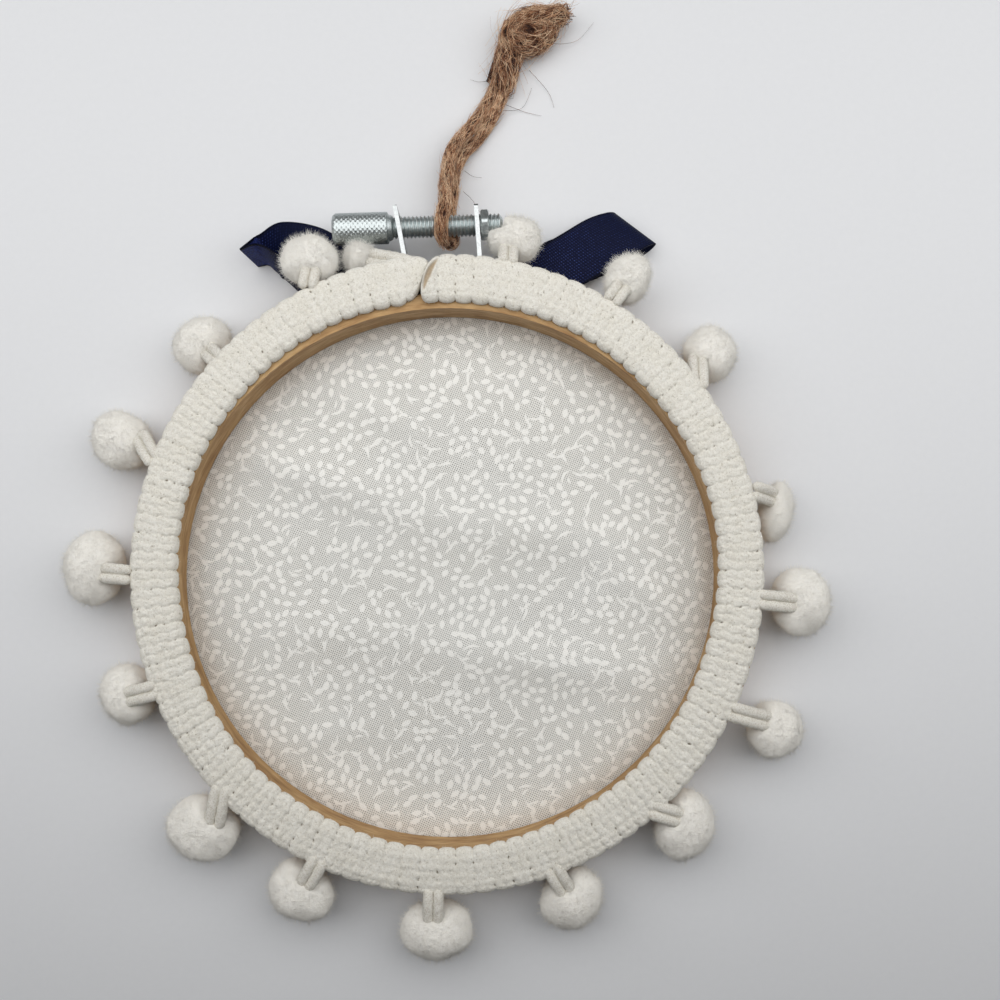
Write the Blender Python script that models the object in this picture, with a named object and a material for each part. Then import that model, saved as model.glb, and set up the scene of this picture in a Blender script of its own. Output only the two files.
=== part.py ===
"""A small embroidery hoop lying face down: printed cotton held in two bamboo rings, a scalloped
pompom braid round the back edge, a clamping screw between two ears, a jute hanger knotted round
the screw, and a ribbon bow under the top of the hoop.

Sizes are in millimetres. Pieces of the hoop are made in the hoop's own frame, with the front edge
of the rings at Z = 0 and the middle of the hoop at X = Y = 0. The hoop then leans on the bow, which
lifts its top edge a little off the surface it lies on.
"""

import math
from collections import namedtuple

import bmesh
import bpy
from mathutils import Matrix, Vector, noise

MM = 0.001
GAP = 0.3  # between pieces that touch
SHEET = 1.0  # thickness of the cotton and of the ribbon

# Rings. The hoop is slightly wider than it is tall.
HOOP_OVAL = 0.008
RING_HEIGHT = 9.0
INNER_RING_INSIDE = 47.2
INNER_RING_WALL = 2.8
OUTER_RING_WALL = 2.6
RING_EDGE = 0.5
RING_STEPS = 96
CLOTH_WALL_INSIDE = INNER_RING_INSIDE + INNER_RING_WALL + GAP
OUTER_RING_INSIDE = CLOTH_WALL_INSIDE + SHEET + GAP
OUTER_RING_OUTSIDE = OUTER_RING_INSIDE + OUTER_RING_WALL
RING_END_LEFT = 97.6  # degrees, where the outer ring is split between the ears
RING_END_RIGHT = 84.4

# Cotton, folded up between the rings.
CLOTH_TOP = 8.4
CLOTH_FLAT_RIM = 46.6  # outside this radius the cotton lies flat
CLOTH_FADE = 6.0
CLOTH_RINGS = 9
CLOTH_STEPS = 48
# Soft folds left in the cotton: middle, direction in degrees, half length, half width, height.
Fold = namedtuple("Fold", "x y angle length width height")
FOLDS = [
    Fold(-24.0, 17.5, -19, 19, 4.2, 1.2),
    Fold(15.0, 7.5, -8, 20, 5.0, 1.1),
    Fold(36.0, -4.0, -38, 9, 3.0, 0.7),
    Fold(-21.0, -10.5, -3, 14, 5.0, 0.8),
    Fold(18.0, -16.0, -7, 20, 4.5, 1.2),
    Fold(-13.0, 29.0, -28, 8, 2.6, 0.5),
    Fold(-23.0, -29.0, 10, 8, 3.0, 0.4),
]

# Braid, one scallop at a time.
BRAID_INSIDE = 46.75
BRAID_OUTSIDE = 55.05
BRAID_OFF_CENTRE = (-0.1, 1.0)
BRAID_OVAL = -0.004  # a little taller than it is wide
BRAID_BOTTOM = RING_HEIGHT + GAP
BRAID_THICKNESS = 1.5
BRAID_START = -264.5  # degrees, from left of the top of the hoop round to the lifted end
BRAID_END = 94.6
SCALLOPS = 102
SCALLOP_DEPTH = 0.55
SCALLOP_STEPS = 4
RIB_DEPTH = 0.3
BRAID_ROUND_END = 2.4
BRAID_WAVER = 0.22
BRAID_CURL = 5.0  # length of the lifted end
BRAID_CURL_RISE = 1.3

# Pompoms: angle and distance of the middle, half sizes across, outwards and up, lowest point, and
# the angle at which the tie leaves the braid.
Pompom = namedtuple("Pompom", "name angle distance across deep tall base root")
POMPOMS = [
    Pompom("01", 114.2, 62.0, 5.2, 5.0, 4.7, 4.5, 115.6),
    Pompom("02", 104.2, 58.4, 4.3, 2.4, 4.1, 4.1, 100.9),
    Pompom("03", 78.1, 61.0, 4.6, 4.2, 4.2, 3.7, 79.0),
    Pompom("04", 59.9, 62.4, 4.9, 5.0, 4.8, 3.9, 57.9),
    Pompom("05", 40.7, 61.5, 4.6, 5.3, 5.2, 0.0, 37.2),
    Pompom("06", 11.2, 59.9, 5.3, 3.6, 5.0, 0.0, 15.0),
    Pompom("07", -4.3, 61.9, 6.0, 5.5, 5.7, 0.0, -4.4),
    Pompom("08", -25.2, 62.4, 5.0, 5.2, 5.4, 0.0, -25.6),
    Pompom("09", -46.4, 60.7, 6.0, 5.2, 5.8, 0.0, -47.3),
    Pompom("10", -68.7, 60.6, 5.8, 5.2, 5.6, 0.0, -69.6),
    Pompom("11", -92.0, 61.4, 6.4, 5.5, 5.8, 0.0, -92.4),
    Pompom("12", -115.1, 61.0, 6.3, 5.3, 5.8, 0.0, -114.6),
    Pompom("13", -134.7, 61.4, 6.3, 5.6, 5.8, 0.0, -136.4),
    Pompom("14", -159.8, 60.6, 5.6, 5.2, 5.6, 0.0, -158.7),
    Pompom("15", 178.9, 62.6, 6.5, 5.5, 5.8, 0.0, 179.9),
    Pompom("16", 157.4, 62.6, 5.2, 5.5, 5.6, 0.0, 157.0),
    Pompom("17", 136.7, 61.0, 5.0, 4.4, 5.2, 0.0, 137.5),
]
POMPOM_STEPS = 12
POMPOM_RINGS = 8
POMPOM_LUMP = 0.07
POMPOM_FLAT = 0.35  # height of the flat spot a pompom rests on

# Ties: a loop of yarn from the braid's edge into the dent on top of each pompom.
TIE_RADIUS = 0.85
TIE_HALF_SPAN = 0.97
TIE_SLACK = 0.58
TIE_SHORT_OF_MIDDLE = 2.2
TIE_BELOW_TOP = 2.0
TIE_SIDES = 5
TIE_TURN_STEPS = 4
DENT_SLOPE = 1.5

# Screw, ears and nut. The screw lies nearly along X.
SCREW_Y = 62.65
SCREW_Z = 4.6
SCREW_TURN = 1.78  # degrees from X
THREAD_RADIUS = 1.95
SCREW_TIP = 9.5
HEAD_RADIUS = 2.85
HEAD_LEFT = -20.9
HEAD_RIGHT = -11.2
SHOULDER_RIGHT = -10.2
SHOULDER_RADIUS = 2.1
SCREW_STEPS = 20
HOLE_RADIUS = 2.3
EAR_THICKNESS = 0.75
EAR_BOTTOM = 0.8
EAR_TOP = 8.2
LEFT_EAR_TIP = (-9.6, 65.3)
RIGHT_EAR_TIP = (4.75, 65.5)
EAR_FOOT_ANGLES = (1.0, 3.2, 5.4)  # degrees past the ring's end
EAR_BEND_RADIUS = 55.3
NUT_LEFT = 5.55
NUT_RIGHT = 7.0
NUT_RADIUS = 2.9

# Jute hanger: the middle line between its two strands, with the height of each strand. The left
# strand passes over the screw, the right one comes from under it.
TWINE_RADIUS = 0.98
TWINE_SPACING = 2.3
TWINE_PLY = 0.17  # depth of the twist between the plies
TWINE_PITCH = 9.0
TWINE_SIDES = 8
TWINE_STEP = 1.15
Hang = namedtuple("Hang", "x y left right")
TWINE_ROUTE = [
    Hang(-0.5, 66.4, 9.6, 3.9),
    Hang(-0.3, 71.1, 7.0, 2.8),
    Hang(0.1, 75.0, 5.2, 2.2),
    Hang(1.5, 78.6, 3.7, 1.8),
    Hang(4.2, 82.1, 2.3, 1.4),
    Hang(6.6, 86.0, 1.4, 1.15),
    Hang(8.7, 90.3, 1.15, 1.15),
    Hang(10.7, 94.7, 1.4, 1.4),
]
KNOT_MIDDLE = (16.0, 101.6)
KNOT_HALF = (8.2, 4.7, 3.3)
KNOT_ANGLE = 47.0
KNOT_RIDGES = 5
KNOT_RIDGE_DEPTH = 0.13
TWINE_END_ROUTE = [(8.1, 98.5, 1.5), (7.2, 96.2, 1.2), (5.9, 92.9, 1.05)]

# Ribbon bow, flat where the hoop rests on it. A row is the middle of the ribbon, the direction in
# which its upper edge lies from its lower one, how far it stands up, and its width.
BOW_KNOT_HALF = (3.7, 4.6)
BOW_KNOT_MIDDLE_Y = 52.0
BOW_KNOT_HEIGHT = 2.2
BOW_SECTIONS = 26
Ribbon = namedtuple("Ribbon", "x y z heading lean width")
RIGHT_LOOP = [
    Ribbon(4.1, 52.0, 1.80, 90, 0, 7.0),
    Ribbon(10.0, 53.2, 1.80, 97, 0, 8.5),
    Ribbon(16.5, 54.9, 2.15, 108, 4, 9.8),
    Ribbon(22.5, 57.9, 3.00, 120, 6, 10.0),
    Ribbon(28.0, 61.0, 3.90, 130, 6, 10.0),
    Ribbon(32.2, 63.0, 4.00, 140, 4, 9.6),
    Ribbon(34.0, 63.6, 2.40, 143, 0, 9.4),
    Ribbon(32.0, 62.3, 0.70, 141, 0, 9.6),
    Ribbon(26.5, 60.0, 0.52, 130, 0, 10.0),
    Ribbon(20.0, 57.5, 0.52, 118, 0, 10.0),
    Ribbon(12.0, 54.0, 0.52, 100, 0, 8.8),
    Ribbon(4.1, 52.0, 0.52, 90, 0, 7.0),
]
LEFT_LOOP = [
    Ribbon(-4.1, 52.0, 1.80, 90, 0, 7.0),
    Ribbon(-10.5, 53.2, 1.85, 88, 0, 8.5),
    Ribbon(-17.0, 55.2, 2.60, 92, 10, 9.3),
    Ribbon(-23.6, 57.8, 3.00, 96, 22, 10.0),
    Ribbon(-29.6, 59.2, 3.60, 104, 35, 10.0),
    Ribbon(-33.6, 58.6, 4.20, 122, 52, 9.5),
    Ribbon(-35.5, 57.2, 4.50, 145, 66, 9.2),
    Ribbon(-34.6, 55.9, 4.50, 130, 78, 9.0),
    Ribbon(-32.5, 54.1, 4.00, 100, 76, 7.8),
    Ribbon(-29.6, 51.6, 2.95, 78, 54, 6.4),
    Ribbon(-25.0, 50.4, 1.75, 82, 20, 7.0),
    Ribbon(-18.0, 50.8, 0.56, 88, 0, 7.0),
    Ribbon(-10.0, 51.4, 0.52, 90, 0, 7.0),
    Ribbon(-4.1, 52.0, 0.52, 90, 0, 7.0),
]

# The hoop leans on the bow: its bottom edge touches the surface and its top edge is lifted.
LEAN_REACH = OUTER_RING_OUTSIDE * (1 - HOOP_OVAL)
LEAN_LIFT = 2.74
LEAN = math.asin(LEAN_LIFT / (2 * LEAN_REACH))
HOOP_TO_SURFACE = Matrix.Translation((0, 0, LEAN_REACH * math.sin(LEAN))) @ Matrix.Rotation(LEAN, 4, "X")

Finish = namedtuple("Finish", "color roughness metallic")
FINISHES = {
    "bamboo": Finish((0.62, 0.42, 0.20), 0.55, 0.0),
    "cotton_print": Finish((0.66, 0.63, 0.59), 0.9, 0.0),
    "trim_yarn": Finish((0.84, 0.82, 0.76), 0.9, 0.0),
    "pompom_yarn": Finish((0.86, 0.84, 0.78), 0.95, 0.0),
    "zinc_steel": Finish((0.62, 0.66, 0.68), 0.3, 1.0),
    "jute": Finish((0.36, 0.22, 0.12), 0.9, 0.0),
    "navy_satin": Finish((0.01, 0.014, 0.06), 0.35, 0.0),
}


def material(slot):
    """The Principled material of a slot, made on first use."""
    if slot in bpy.data.materials:
        return bpy.data.materials[slot]
    finish = FINISHES[slot]
    made = bpy.data.materials.new(slot)
    made.use_nodes = True
    shader = made.node_tree.nodes["Principled BSDF"]
    shader.inputs["Base Color"].default_value = (*finish.color, 1.0)
    shader.inputs["Roughness"].default_value = finish.roughness
    shader.inputs["Metallic"].default_value = finish.metallic
    return made


def add_piece(name, bm, slot, parent, sharp=40):
    """A named object from a bmesh in millimetres, standing under parent."""
    bmesh.ops.recalc_face_normals(bm, faces=bm.faces)
    if bm.calc_volume(signed=True) < 0:
        bmesh.ops.reverse_faces(bm, faces=bm.faces)
    bmesh.ops.scale(bm, vec=(MM, MM, MM), verts=bm.verts)
    mesh = bpy.data.meshes.new(name)
    bm.to_mesh(mesh)
    bm.free()
    mesh.materials.append(material(slot))
    mesh.shade_smooth()
    mesh.set_sharp_from_angle(angle=math.radians(sharp))
    piece = bpy.data.objects.new(name, mesh)
    bpy.context.collection.objects.link(piece)
    piece.parent = parent
    return piece


def loft(sections, closed=False):
    """A closed skin over rings of points that all have the same count."""
    bm = bmesh.new()
    rows = [[bm.verts.new(point) for point in section] for section in sections]
    count = len(rows[0])
    pairs = list(zip(rows, rows[1:]))
    if closed:
        pairs.append((rows[-1], rows[0]))
    for low, high in pairs:
        for i in range(count):
            j = (i + 1) % count
            bm.faces.new((low[i], low[j], high[j], high[i]))
    if not closed:
        bm.faces.new(rows[0])
        bm.faces.new(rows[-1])
    return bm


def smooth_step(value):
    value = min(max(value, 0.0), 1.0)
    return value * value * (3 - 2 * value)


def on_hoop(radius, degrees, z, oval=HOOP_OVAL):
    """A point of the hoop at a radius and angle, with the hoop's slight oval."""
    angle = math.radians(degrees)
    return Vector((radius * (1 + oval) * math.cos(angle), radius * (1 - oval) * math.sin(angle), z))


def on_braid(radius, degrees, z):
    """A point of the braid, which is glued on a little off the hoop's middle."""
    return on_hoop(radius, degrees, z, BRAID_OVAL) + Vector((*BRAID_OFF_CENTRE, 0))


def on_surface(point):
    """A point of the hoop's frame as it lies on the surface, in millimetres."""
    return HOOP_TO_SURFACE @ Vector(point)


def curve_through(points, count):
    """count points on a smooth curve through vectors of any length (Catmull-Rom)."""
    last = len(points) - 1
    made = []
    for i in range(count):
        place = last * i / (count - 1)
        k = min(int(place), last - 1)
        t = place - k
        a, b = points[max(k - 1, 0)], points[k]
        c, d = points[k + 1], points[min(k + 2, last)]
        made.append(
            0.5 * ((2 * b) + (c - a) * t + (2 * a - 5 * b + 4 * c - d) * t**2 + (3 * b - a - 3 * c + d) * t**3)
        )
    return made


def tube(path, radius_at, sides):
    """A closed tube along a path; radius_at(step, angle) gives its radius."""
    sections = []
    side = Vector((1, 0, 0))
    for i, point in enumerate(path):
        ahead = path[min(i + 1, len(path) - 1)] - path[max(i - 1, 0)]
        ahead.normalize()
        side = side - ahead * side.dot(ahead)
        if side.length < 0.1:
            side = ahead.orthogonal()
        side.normalize()
        up = ahead.cross(side)
        ring = []
        for k in range(sides):
            angle = 2 * math.pi * k / sides
            radius = radius_at(i, angle)
            ring.append(point + side * radius * math.cos(angle) + up * radius * math.sin(angle))
        sections.append(ring)
    return loft(sections)


def ring_band(name, inside, outside, bottom, top, ends, parent):
    """A wooden ring of rectangular section with its outer edges taken off, whole or split."""
    edge = RING_EDGE
    profile = [(inside, bottom), (outside - edge, bottom), (outside, bottom + edge)]
    profile += [(outside, top - edge), (outside - edge, top), (inside, top)]
    start, end = ends or (0.0, 360.0)
    count = RING_STEPS if ends is None else RING_STEPS + 1
    sections = []
    for i in range(count):
        degrees = start + (end - start) * i / RING_STEPS
        sections.append([on_hoop(radius, degrees, z) for radius, z in profile])
    return add_piece(name, loft(sections, closed=ends is None), "bamboo", parent)


def fold_height(x, y):
    """How far the cotton stands up at a point, from the soft folds."""
    height = 0.0
    for fold in FOLDS:
        angle = math.radians(fold.angle)
        along = (x - fold.x) * math.cos(angle) + (y - fold.y) * math.sin(angle)
        aside = (y - fold.y) * math.cos(angle) - (x - fold.x) * math.sin(angle)
        height += fold.height * math.exp(-((along / fold.length) ** 2) - (aside / fold.width) ** 2)
    fade = smooth_step((CLOTH_FLAT_RIM - math.hypot(x, y)) / CLOTH_FADE)
    return height * fade


def cloth_point(radius, degrees, z, folded):
    point = on_hoop(radius, degrees, z)
    if folded:
        point.z += fold_height(point.x, point.y)
    return point


def make_cloth(parent):
    """The cotton: a dish whose floor has soft folds and whose wall stands between the rings."""
    outside = CLOTH_WALL_INSIDE + SHEET
    radii = [CLOTH_FLAT_RIM * (i + 1) / CLOTH_RINGS for i in range(CLOTH_RINGS)]
    under = [(radius, GAP, True) for radius in radii] + [(outside, GAP, False)]
    over = [(radius, GAP + SHEET, True) for radius in reversed(radii)]
    wall = [(outside, CLOTH_TOP, False), (CLOTH_WALL_INSIDE, CLOTH_TOP, False)]
    wall += [(CLOTH_WALL_INSIDE, GAP + SHEET, False)]
    profile = under + wall + over
    bm = bmesh.new()
    columns = []
    for i in range(CLOTH_STEPS):
        degrees = 360.0 * i / CLOTH_STEPS
        columns.append([bm.verts.new(cloth_point(r, degrees, z, folded)) for r, z, folded in profile])
    lowest = bm.verts.new(cloth_point(0, 0, GAP, True))
    highest = bm.verts.new(cloth_point(0, 0, GAP + SHEET, True))
    for i, column in enumerate(columns):
        following = columns[(i + 1) % CLOTH_STEPS]
        for k in range(len(profile) - 1):
            bm.faces.new((column[k], column[k + 1], following[k + 1], following[k]))
        bm.faces.new((lowest, column[0], following[0]))
        bm.faces.new((highest, following[-1], column[-1]))
    return add_piece("cloth", bm, "cotton_print", parent, sharp=60)


def braid_section(degrees, phase, from_start, from_end):
    """Six points across the braid at an angle; phase runs from 0 to 1 over each scallop."""
    bump = math.sqrt(max(0.0, 1 - (2 * phase - 1) ** 2))
    waver = BRAID_WAVER * (math.sin(math.radians(3 * degrees + 40)) + 0.6 * math.sin(math.radians(7 * degrees)))
    corner = min(1.0, min(from_start, from_end) / BRAID_ROUND_END)
    narrowed = (1 - math.sqrt(max(0.0, 1 - (1 - corner) ** 2))) * BRAID_ROUND_END * 0.8
    inside = BRAID_INSIDE + SCALLOP_DEPTH * (1 - bump) + narrowed + waver
    outside = BRAID_OUTSIDE - SCALLOP_DEPTH * (1 - bump) - narrowed
    top = BRAID_THICKNESS - RIB_DEPTH * (1 - bump)
    curl = smooth_step(1 - from_end / BRAID_CURL) * BRAID_CURL_RISE
    rows = [
        (inside, 0.0, 0.3),
        (inside - 0.05, top * 0.6, 0.3),
        (inside + 1.0, top, 0.4),
        (outside - 1.0, top, 1.0),
        (outside, top * 0.6, 1.2),
        (outside - 0.05, 0.0, 1.2),
    ]
    return [on_braid(radius, degrees, BRAID_BOTTOM + z + curl * share) for radius, z, share in rows]


def make_braid(parent):
    steps = SCALLOPS * SCALLOP_STEPS
    arc = math.radians(BRAID_END - BRAID_START) * (BRAID_INSIDE + BRAID_OUTSIDE) / 2
    sections = []
    for i in range(steps + 1):
        share = i / steps
        degrees = BRAID_START + (BRAID_END - BRAID_START) * share
        phase = (i % SCALLOP_STEPS) / SCALLOP_STEPS
        sections.append(braid_section(degrees, phase, 0.3 + arc * share, 0.3 + arc * (1 - share)))
    return add_piece("braid", loft(sections), "trim_yarn", parent, sharp=80)


def pompom_frame(row):
    """Middle of a pompom, and the directions outwards from the hoop and across."""
    angle = math.radians(row.angle)
    outwards = Vector((math.cos(angle), math.sin(angle), 0))
    across = Vector((-math.sin(angle), math.cos(angle), 0))
    middle = outwards * row.distance + Vector((0, 0, row.base + row.tall))
    return middle, outwards, across


def tie_points(row):
    """Where a tie leaves the braid and where it ends in its pompom's dent."""
    middle, outwards, _ = pompom_frame(row)
    short = min(TIE_SHORT_OF_MIDDLE, row.deep * 0.5)
    end = middle - outwards * short
    end.z = row.base + 2 * row.tall - TIE_BELOW_TOP
    edge = on_braid(BRAID_OUTSIDE, row.root, 0)
    skew = edge.to_2d().angle(end.to_2d() - edge.to_2d())
    clear = GAP + TIE_SLACK + TIE_HALF_SPAN * math.sin(skew)
    root = on_surface(on_braid(BRAID_OUTSIDE + clear, row.root, BRAID_BOTTOM + BRAID_THICKNESS / 2))
    return root, end


def clear_of_screw(point):
    """Pushes a pompom's point out of the space round the end of the screw."""
    start, direction = screw_axis()
    along = (point - start).dot(direction)
    if along > SCREW_TIP + 0.6 or along < HEAD_LEFT - 0.6:
        return point
    free = (NUT_RADIUS if along < NUT_RIGHT + 1.0 else THREAD_RADIUS) + 5 * GAP
    foot = start + direction * along
    away = point - foot
    if away.length >= free:
        return point
    away.normalize()
    return foot + away * free


def make_pompom(row, parent):
    """A lumpy ball with a dent for its tie and a small flat spot underneath."""
    middle, outwards, across = pompom_frame(row)
    _, end = tie_points(row)
    floor = end.z - TIE_RADIUS - 2 * GAP
    reach = (end - middle).dot(outwards) + TIE_RADIUS + 2 * GAP
    half_width = TIE_HALF_SPAN + TIE_RADIUS + 2 * GAP
    bm = bmesh.new()
    bmesh.ops.create_uvsphere(bm, u_segments=POMPOM_STEPS, v_segments=POMPOM_RINGS, radius=1.0)
    for vert in bm.verts:
        unit = vert.co.copy()
        lump = 1 + POMPOM_LUMP * noise.noise(unit * 1.7 + Vector((row.angle, 3.0, 7.0)))
        u, v, w = unit.x * row.deep * lump, unit.y * row.across * lump, unit.z * row.tall * lump
        point = middle + outwards * u + across * v + Vector((0, 0, w))
        past = max(abs(v) - half_width, u - reach, 0.0)
        point.z = min(point.z, floor + past * DENT_SLOPE)
        point = clear_of_screw(point)
        if point.z < row.base + POMPOM_FLAT:
            point.z = row.base
        vert.co = point
    return add_piece("pompom_" + row.name, bm, "pompom_yarn", parent, sharp=80)


def make_tie(row, parent):
    """A hairpin of yarn: out to the dent, round, and back to the braid."""
    root, end = tie_points(row)
    ahead = Vector((end.x - root.x, end.y - root.y, 0)).normalized()
    aside = Vector((-ahead.y, ahead.x, 0)) * TIE_HALF_SPAN
    rise = Vector((0, 0, 0.35))
    path = [root + aside, root.lerp(end, 0.5) + aside + rise]
    for i in range(TIE_TURN_STEPS + 1):
        angle = math.pi * i / TIE_TURN_STEPS
        path.append(end + aside * math.cos(angle) + ahead * TIE_HALF_SPAN * math.sin(angle))
    path += [root.lerp(end, 0.5) - aside + rise, root - aside]
    bm = tube(path, lambda step, angle: TIE_RADIUS, TIE_SIDES)
    return add_piece("tie_" + row.name, bm, "trim_yarn", parent, sharp=80)


def screw_axis():
    """A point of the screw's axis and its direction, as the hoop lies on the surface."""
    angle = math.radians(SCREW_TURN)
    start = on_surface((0, SCREW_Y, SCREW_Z))
    ahead = on_surface((math.cos(angle), SCREW_Y + math.sin(angle), SCREW_Z))
    return start, (ahead - start).normalized()


def turned(profile, steps):
    """A solid turned round X from (x, radius) rows, closed at both ends."""
    bm = bmesh.new()
    rows = []
    for x, radius in profile:
        row = []
        for k in range(steps):
            angle = 2 * math.pi * k / steps
            row.append(bm.verts.new((x, radius * math.cos(angle), radius * math.sin(angle))))
        rows.append(row)
    for low, high in zip(rows, rows[1:]):
        for k in range(steps):
            j = (k + 1) % steps
            bm.faces.new((low[k], low[j], high[j], high[k]))
    bm.faces.new(rows[0])
    bm.faces.new(rows[-1])
    return bm


def make_screw(axis_empty):
    """The knurled thumb screw, turned in one piece with its threaded shank."""
    profile = [
        (HEAD_LEFT, HEAD_RADIUS - 0.4),
        (HEAD_LEFT + 0.4, HEAD_RADIUS),
        (HEAD_RIGHT, HEAD_RADIUS),
        (SHOULDER_RIGHT, SHOULDER_RADIUS),
        (SHOULDER_RIGHT + 0.02, THREAD_RADIUS),
        (SCREW_TIP - 0.6, THREAD_RADIUS),
        (SCREW_TIP, THREAD_RADIUS - 0.6),
    ]
    return add_piece("screw", turned(profile, SCREW_STEPS), "zinc_steel", axis_empty)


def make_nut(axis_empty):
    """A small hexagon nut on the far side of the right ear, with room for the shank."""
    bm = bmesh.new()
    faces = []
    for x in (NUT_LEFT, NUT_RIGHT):
        outer = [
            bm.verts.new((x, NUT_RADIUS * math.cos(math.pi * k / 3), NUT_RADIUS * math.sin(math.pi * k / 3)))
            for k in range(6)
        ]
        hole = [
            bm.verts.new((x, HOLE_RADIUS * math.cos(math.pi * k / 6), HOLE_RADIUS * math.sin(math.pi * k / 6)))
            for k in range(12)
        ]
        faces.append((outer, hole))
    for outer, hole in faces:
        for k in range(6):
            a, b, c = hole[2 * k], hole[2 * k + 1], hole[(2 * k + 2) % 12]
            bm.faces.new((outer[k], outer[(k + 1) % 6], c, b, a))
    (outer_left, hole_left), (outer_right, hole_right) = faces
    for near, far in ((outer_left, outer_right), (hole_left, hole_right)):
        count = len(near)
        for k in range(count):
            j = (k + 1) % count
            bm.faces.new((near[k], near[j], far[j], far[k]))
    return add_piece("nut", bm, "zinc_steel", axis_empty, sharp=20)


def make_ear(name, tip, ring_end, way, cutter, parent):
    """A bent steel plate: a foot on the outer ring's end and an ear that stands out from it."""
    bend = on_hoop(EAR_BEND_RADIUS, ring_end + way * 0.1, 0)
    line = [Vector((*tip, 0)), bend]
    foot_radius = OUTER_RING_OUTSIDE + GAP + EAR_THICKNESS / 2
    line += [on_hoop(foot_radius, ring_end + way * step, 0) for step in EAR_FOOT_ANGLES]
    sections = []
    for i, point in enumerate(line):
        before = (point - line[i - 1]).normalized() if i else None
        after = (line[i + 1] - point).normalized() if i + 1 < len(line) else None
        along = ((before or after) + (after or before)).normalized()
        stretch = 1 / max(0.5, along.dot(before or after))
        aside = Vector((-along.y, along.x, 0)) * (EAR_THICKNESS / 2 * stretch)
        low, high = Vector((0, 0, EAR_BOTTOM)), Vector((0, 0, EAR_TOP))
        sections.append([point - aside + low, point + aside + low, point + aside + high, point - aside + high])
    ear = add_piece(name, loft(sections), "zinc_steel", parent, sharp=30)
    drilled = ear.modifiers.new("screw hole", "BOOLEAN")
    drilled.object = cutter
    drilled.operation = "DIFFERENCE"
    return ear


def make_hole_cutter(axis_empty):
    """The drill that opens the screw's hole in both ears."""
    bm = turned([(-14.0, HOLE_RADIUS), (12.0, HOLE_RADIUS)], SCREW_STEPS)
    cutter = add_piece("screw_hole_cutter", bm, "zinc_steel", axis_empty)
    cutter.hide_render = True
    cutter.display_type = "WIRE"
    return cutter


def twine_line(side):
    """The middle line of one strand: half way round the screw, then along the route."""
    start, _ = screw_axis()
    wrap = THREAD_RADIUS + TWINE_RADIUS + 1.5 * GAP
    shift = side * TWINE_SPACING / 2
    first = TWINE_ROUTE[0]
    points = []
    for degrees in (3, 32, 62, 92):
        angle = math.radians(degrees)
        height = -side * math.sin(angle) * wrap
        points.append(Vector((first.x + shift, start.y - math.cos(angle) * wrap, start.z + height)))
    for i, row in enumerate(TWINE_ROUTE):
        here = Vector((row.x, row.y, 0))
        ahead = TWINE_ROUTE[min(i + 1, len(TWINE_ROUTE) - 1)]
        behind = TWINE_ROUTE[max(i - 1, 0)]
        along = Vector((ahead.x - behind.x, ahead.y - behind.y, 0)).normalized()
        aside = Vector((along.y, -along.x, 0)) * shift
        height = row.left if side < 0 else row.right
        points.append(here + aside + Vector((0, 0, height)))
    return points


def even_path(points, step):
    """Points about one step apart along a smooth curve through the given ones."""
    fine = curve_through(points, 400)
    total = sum((b - a).length for a, b in zip(fine, fine[1:]))
    count = max(2, round(total / step)) + 1
    made, travelled, target = [fine[0]], 0.0, total / (count - 1)
    for a, b in zip(fine, fine[1:]):
        travelled += (b - a).length
        if travelled >= target and len(made) < count - 1:
            made.append(b)
            target += total / (count - 1)
    return made + [fine[-1]]


def make_strand(name, points, parent):
    """Two-ply twine: the section has two lobes that turn along its length."""
    path = even_path(points, TWINE_STEP)
    turn = 2 * math.pi * TWINE_STEP / TWINE_PITCH

    def radius_at(step, angle):
        return TWINE_RADIUS * (1 - TWINE_PLY / 2 + TWINE_PLY / 2 * math.cos(2 * (angle - step * turn)))

    return add_piece(name, tube(path, radius_at, TWINE_SIDES), "jute", parent, sharp=80)


def make_twine_knot(parent):
    """The overhand knot, pulled tight: a long lump with the turns of the twine over it."""
    angle = math.radians(KNOT_ANGLE)
    along = Vector((math.cos(angle), math.sin(angle), 0))
    aside = Vector((-along.y, along.x, 0))
    length, width, height = KNOT_HALF
    middle = Vector((*KNOT_MIDDLE, height * 0.9))
    bm = bmesh.new()
    bmesh.ops.create_icosphere(bm, subdivisions=3, radius=1.0)
    for vert in bm.verts:
        unit = vert.co.copy()
        turn = math.atan2(unit.z, unit.y) + unit.x * KNOT_RIDGES
        lump = 1 + KNOT_RIDGE_DEPTH * math.sin(2 * turn) * (1 - unit.x**4)
        point = middle + along * unit.x * length * (1 + 0.05 * math.sin(3 * unit.y))
        point += aside * unit.y * width * lump + Vector((0, 0, unit.z * height * lump))
        point.z = max(point.z, 0.05)
        vert.co = point
    return add_piece("twine_knot", bm, "jute", parent, sharp=80)


def make_bow_knot(parent):
    """The flat middle of the bow, on which the hoop leans."""
    half_x, half_y = BOW_KNOT_HALF
    edge = 0.5
    sections = []
    for z, inset in ((0.0, edge), (0.6, 0.0), (BOW_KNOT_HEIGHT - 0.6, 0.0), (BOW_KNOT_HEIGHT, edge)):
        x, y = half_x - inset, half_y - inset
        corners = [(x, -y + 1), (x, y - 1), (x - 1, y), (-x + 1, y), (-x, y - 1), (-x, -y + 1), (-x + 1, -y), (x - 1, -y)]
        sections.append([Vector((cx, BOW_KNOT_MIDDLE_Y + cy, z)) for cx, cy in corners])
    return add_piece("bow_knot", loft(sections), "navy_satin", parent, sharp=50)


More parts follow.
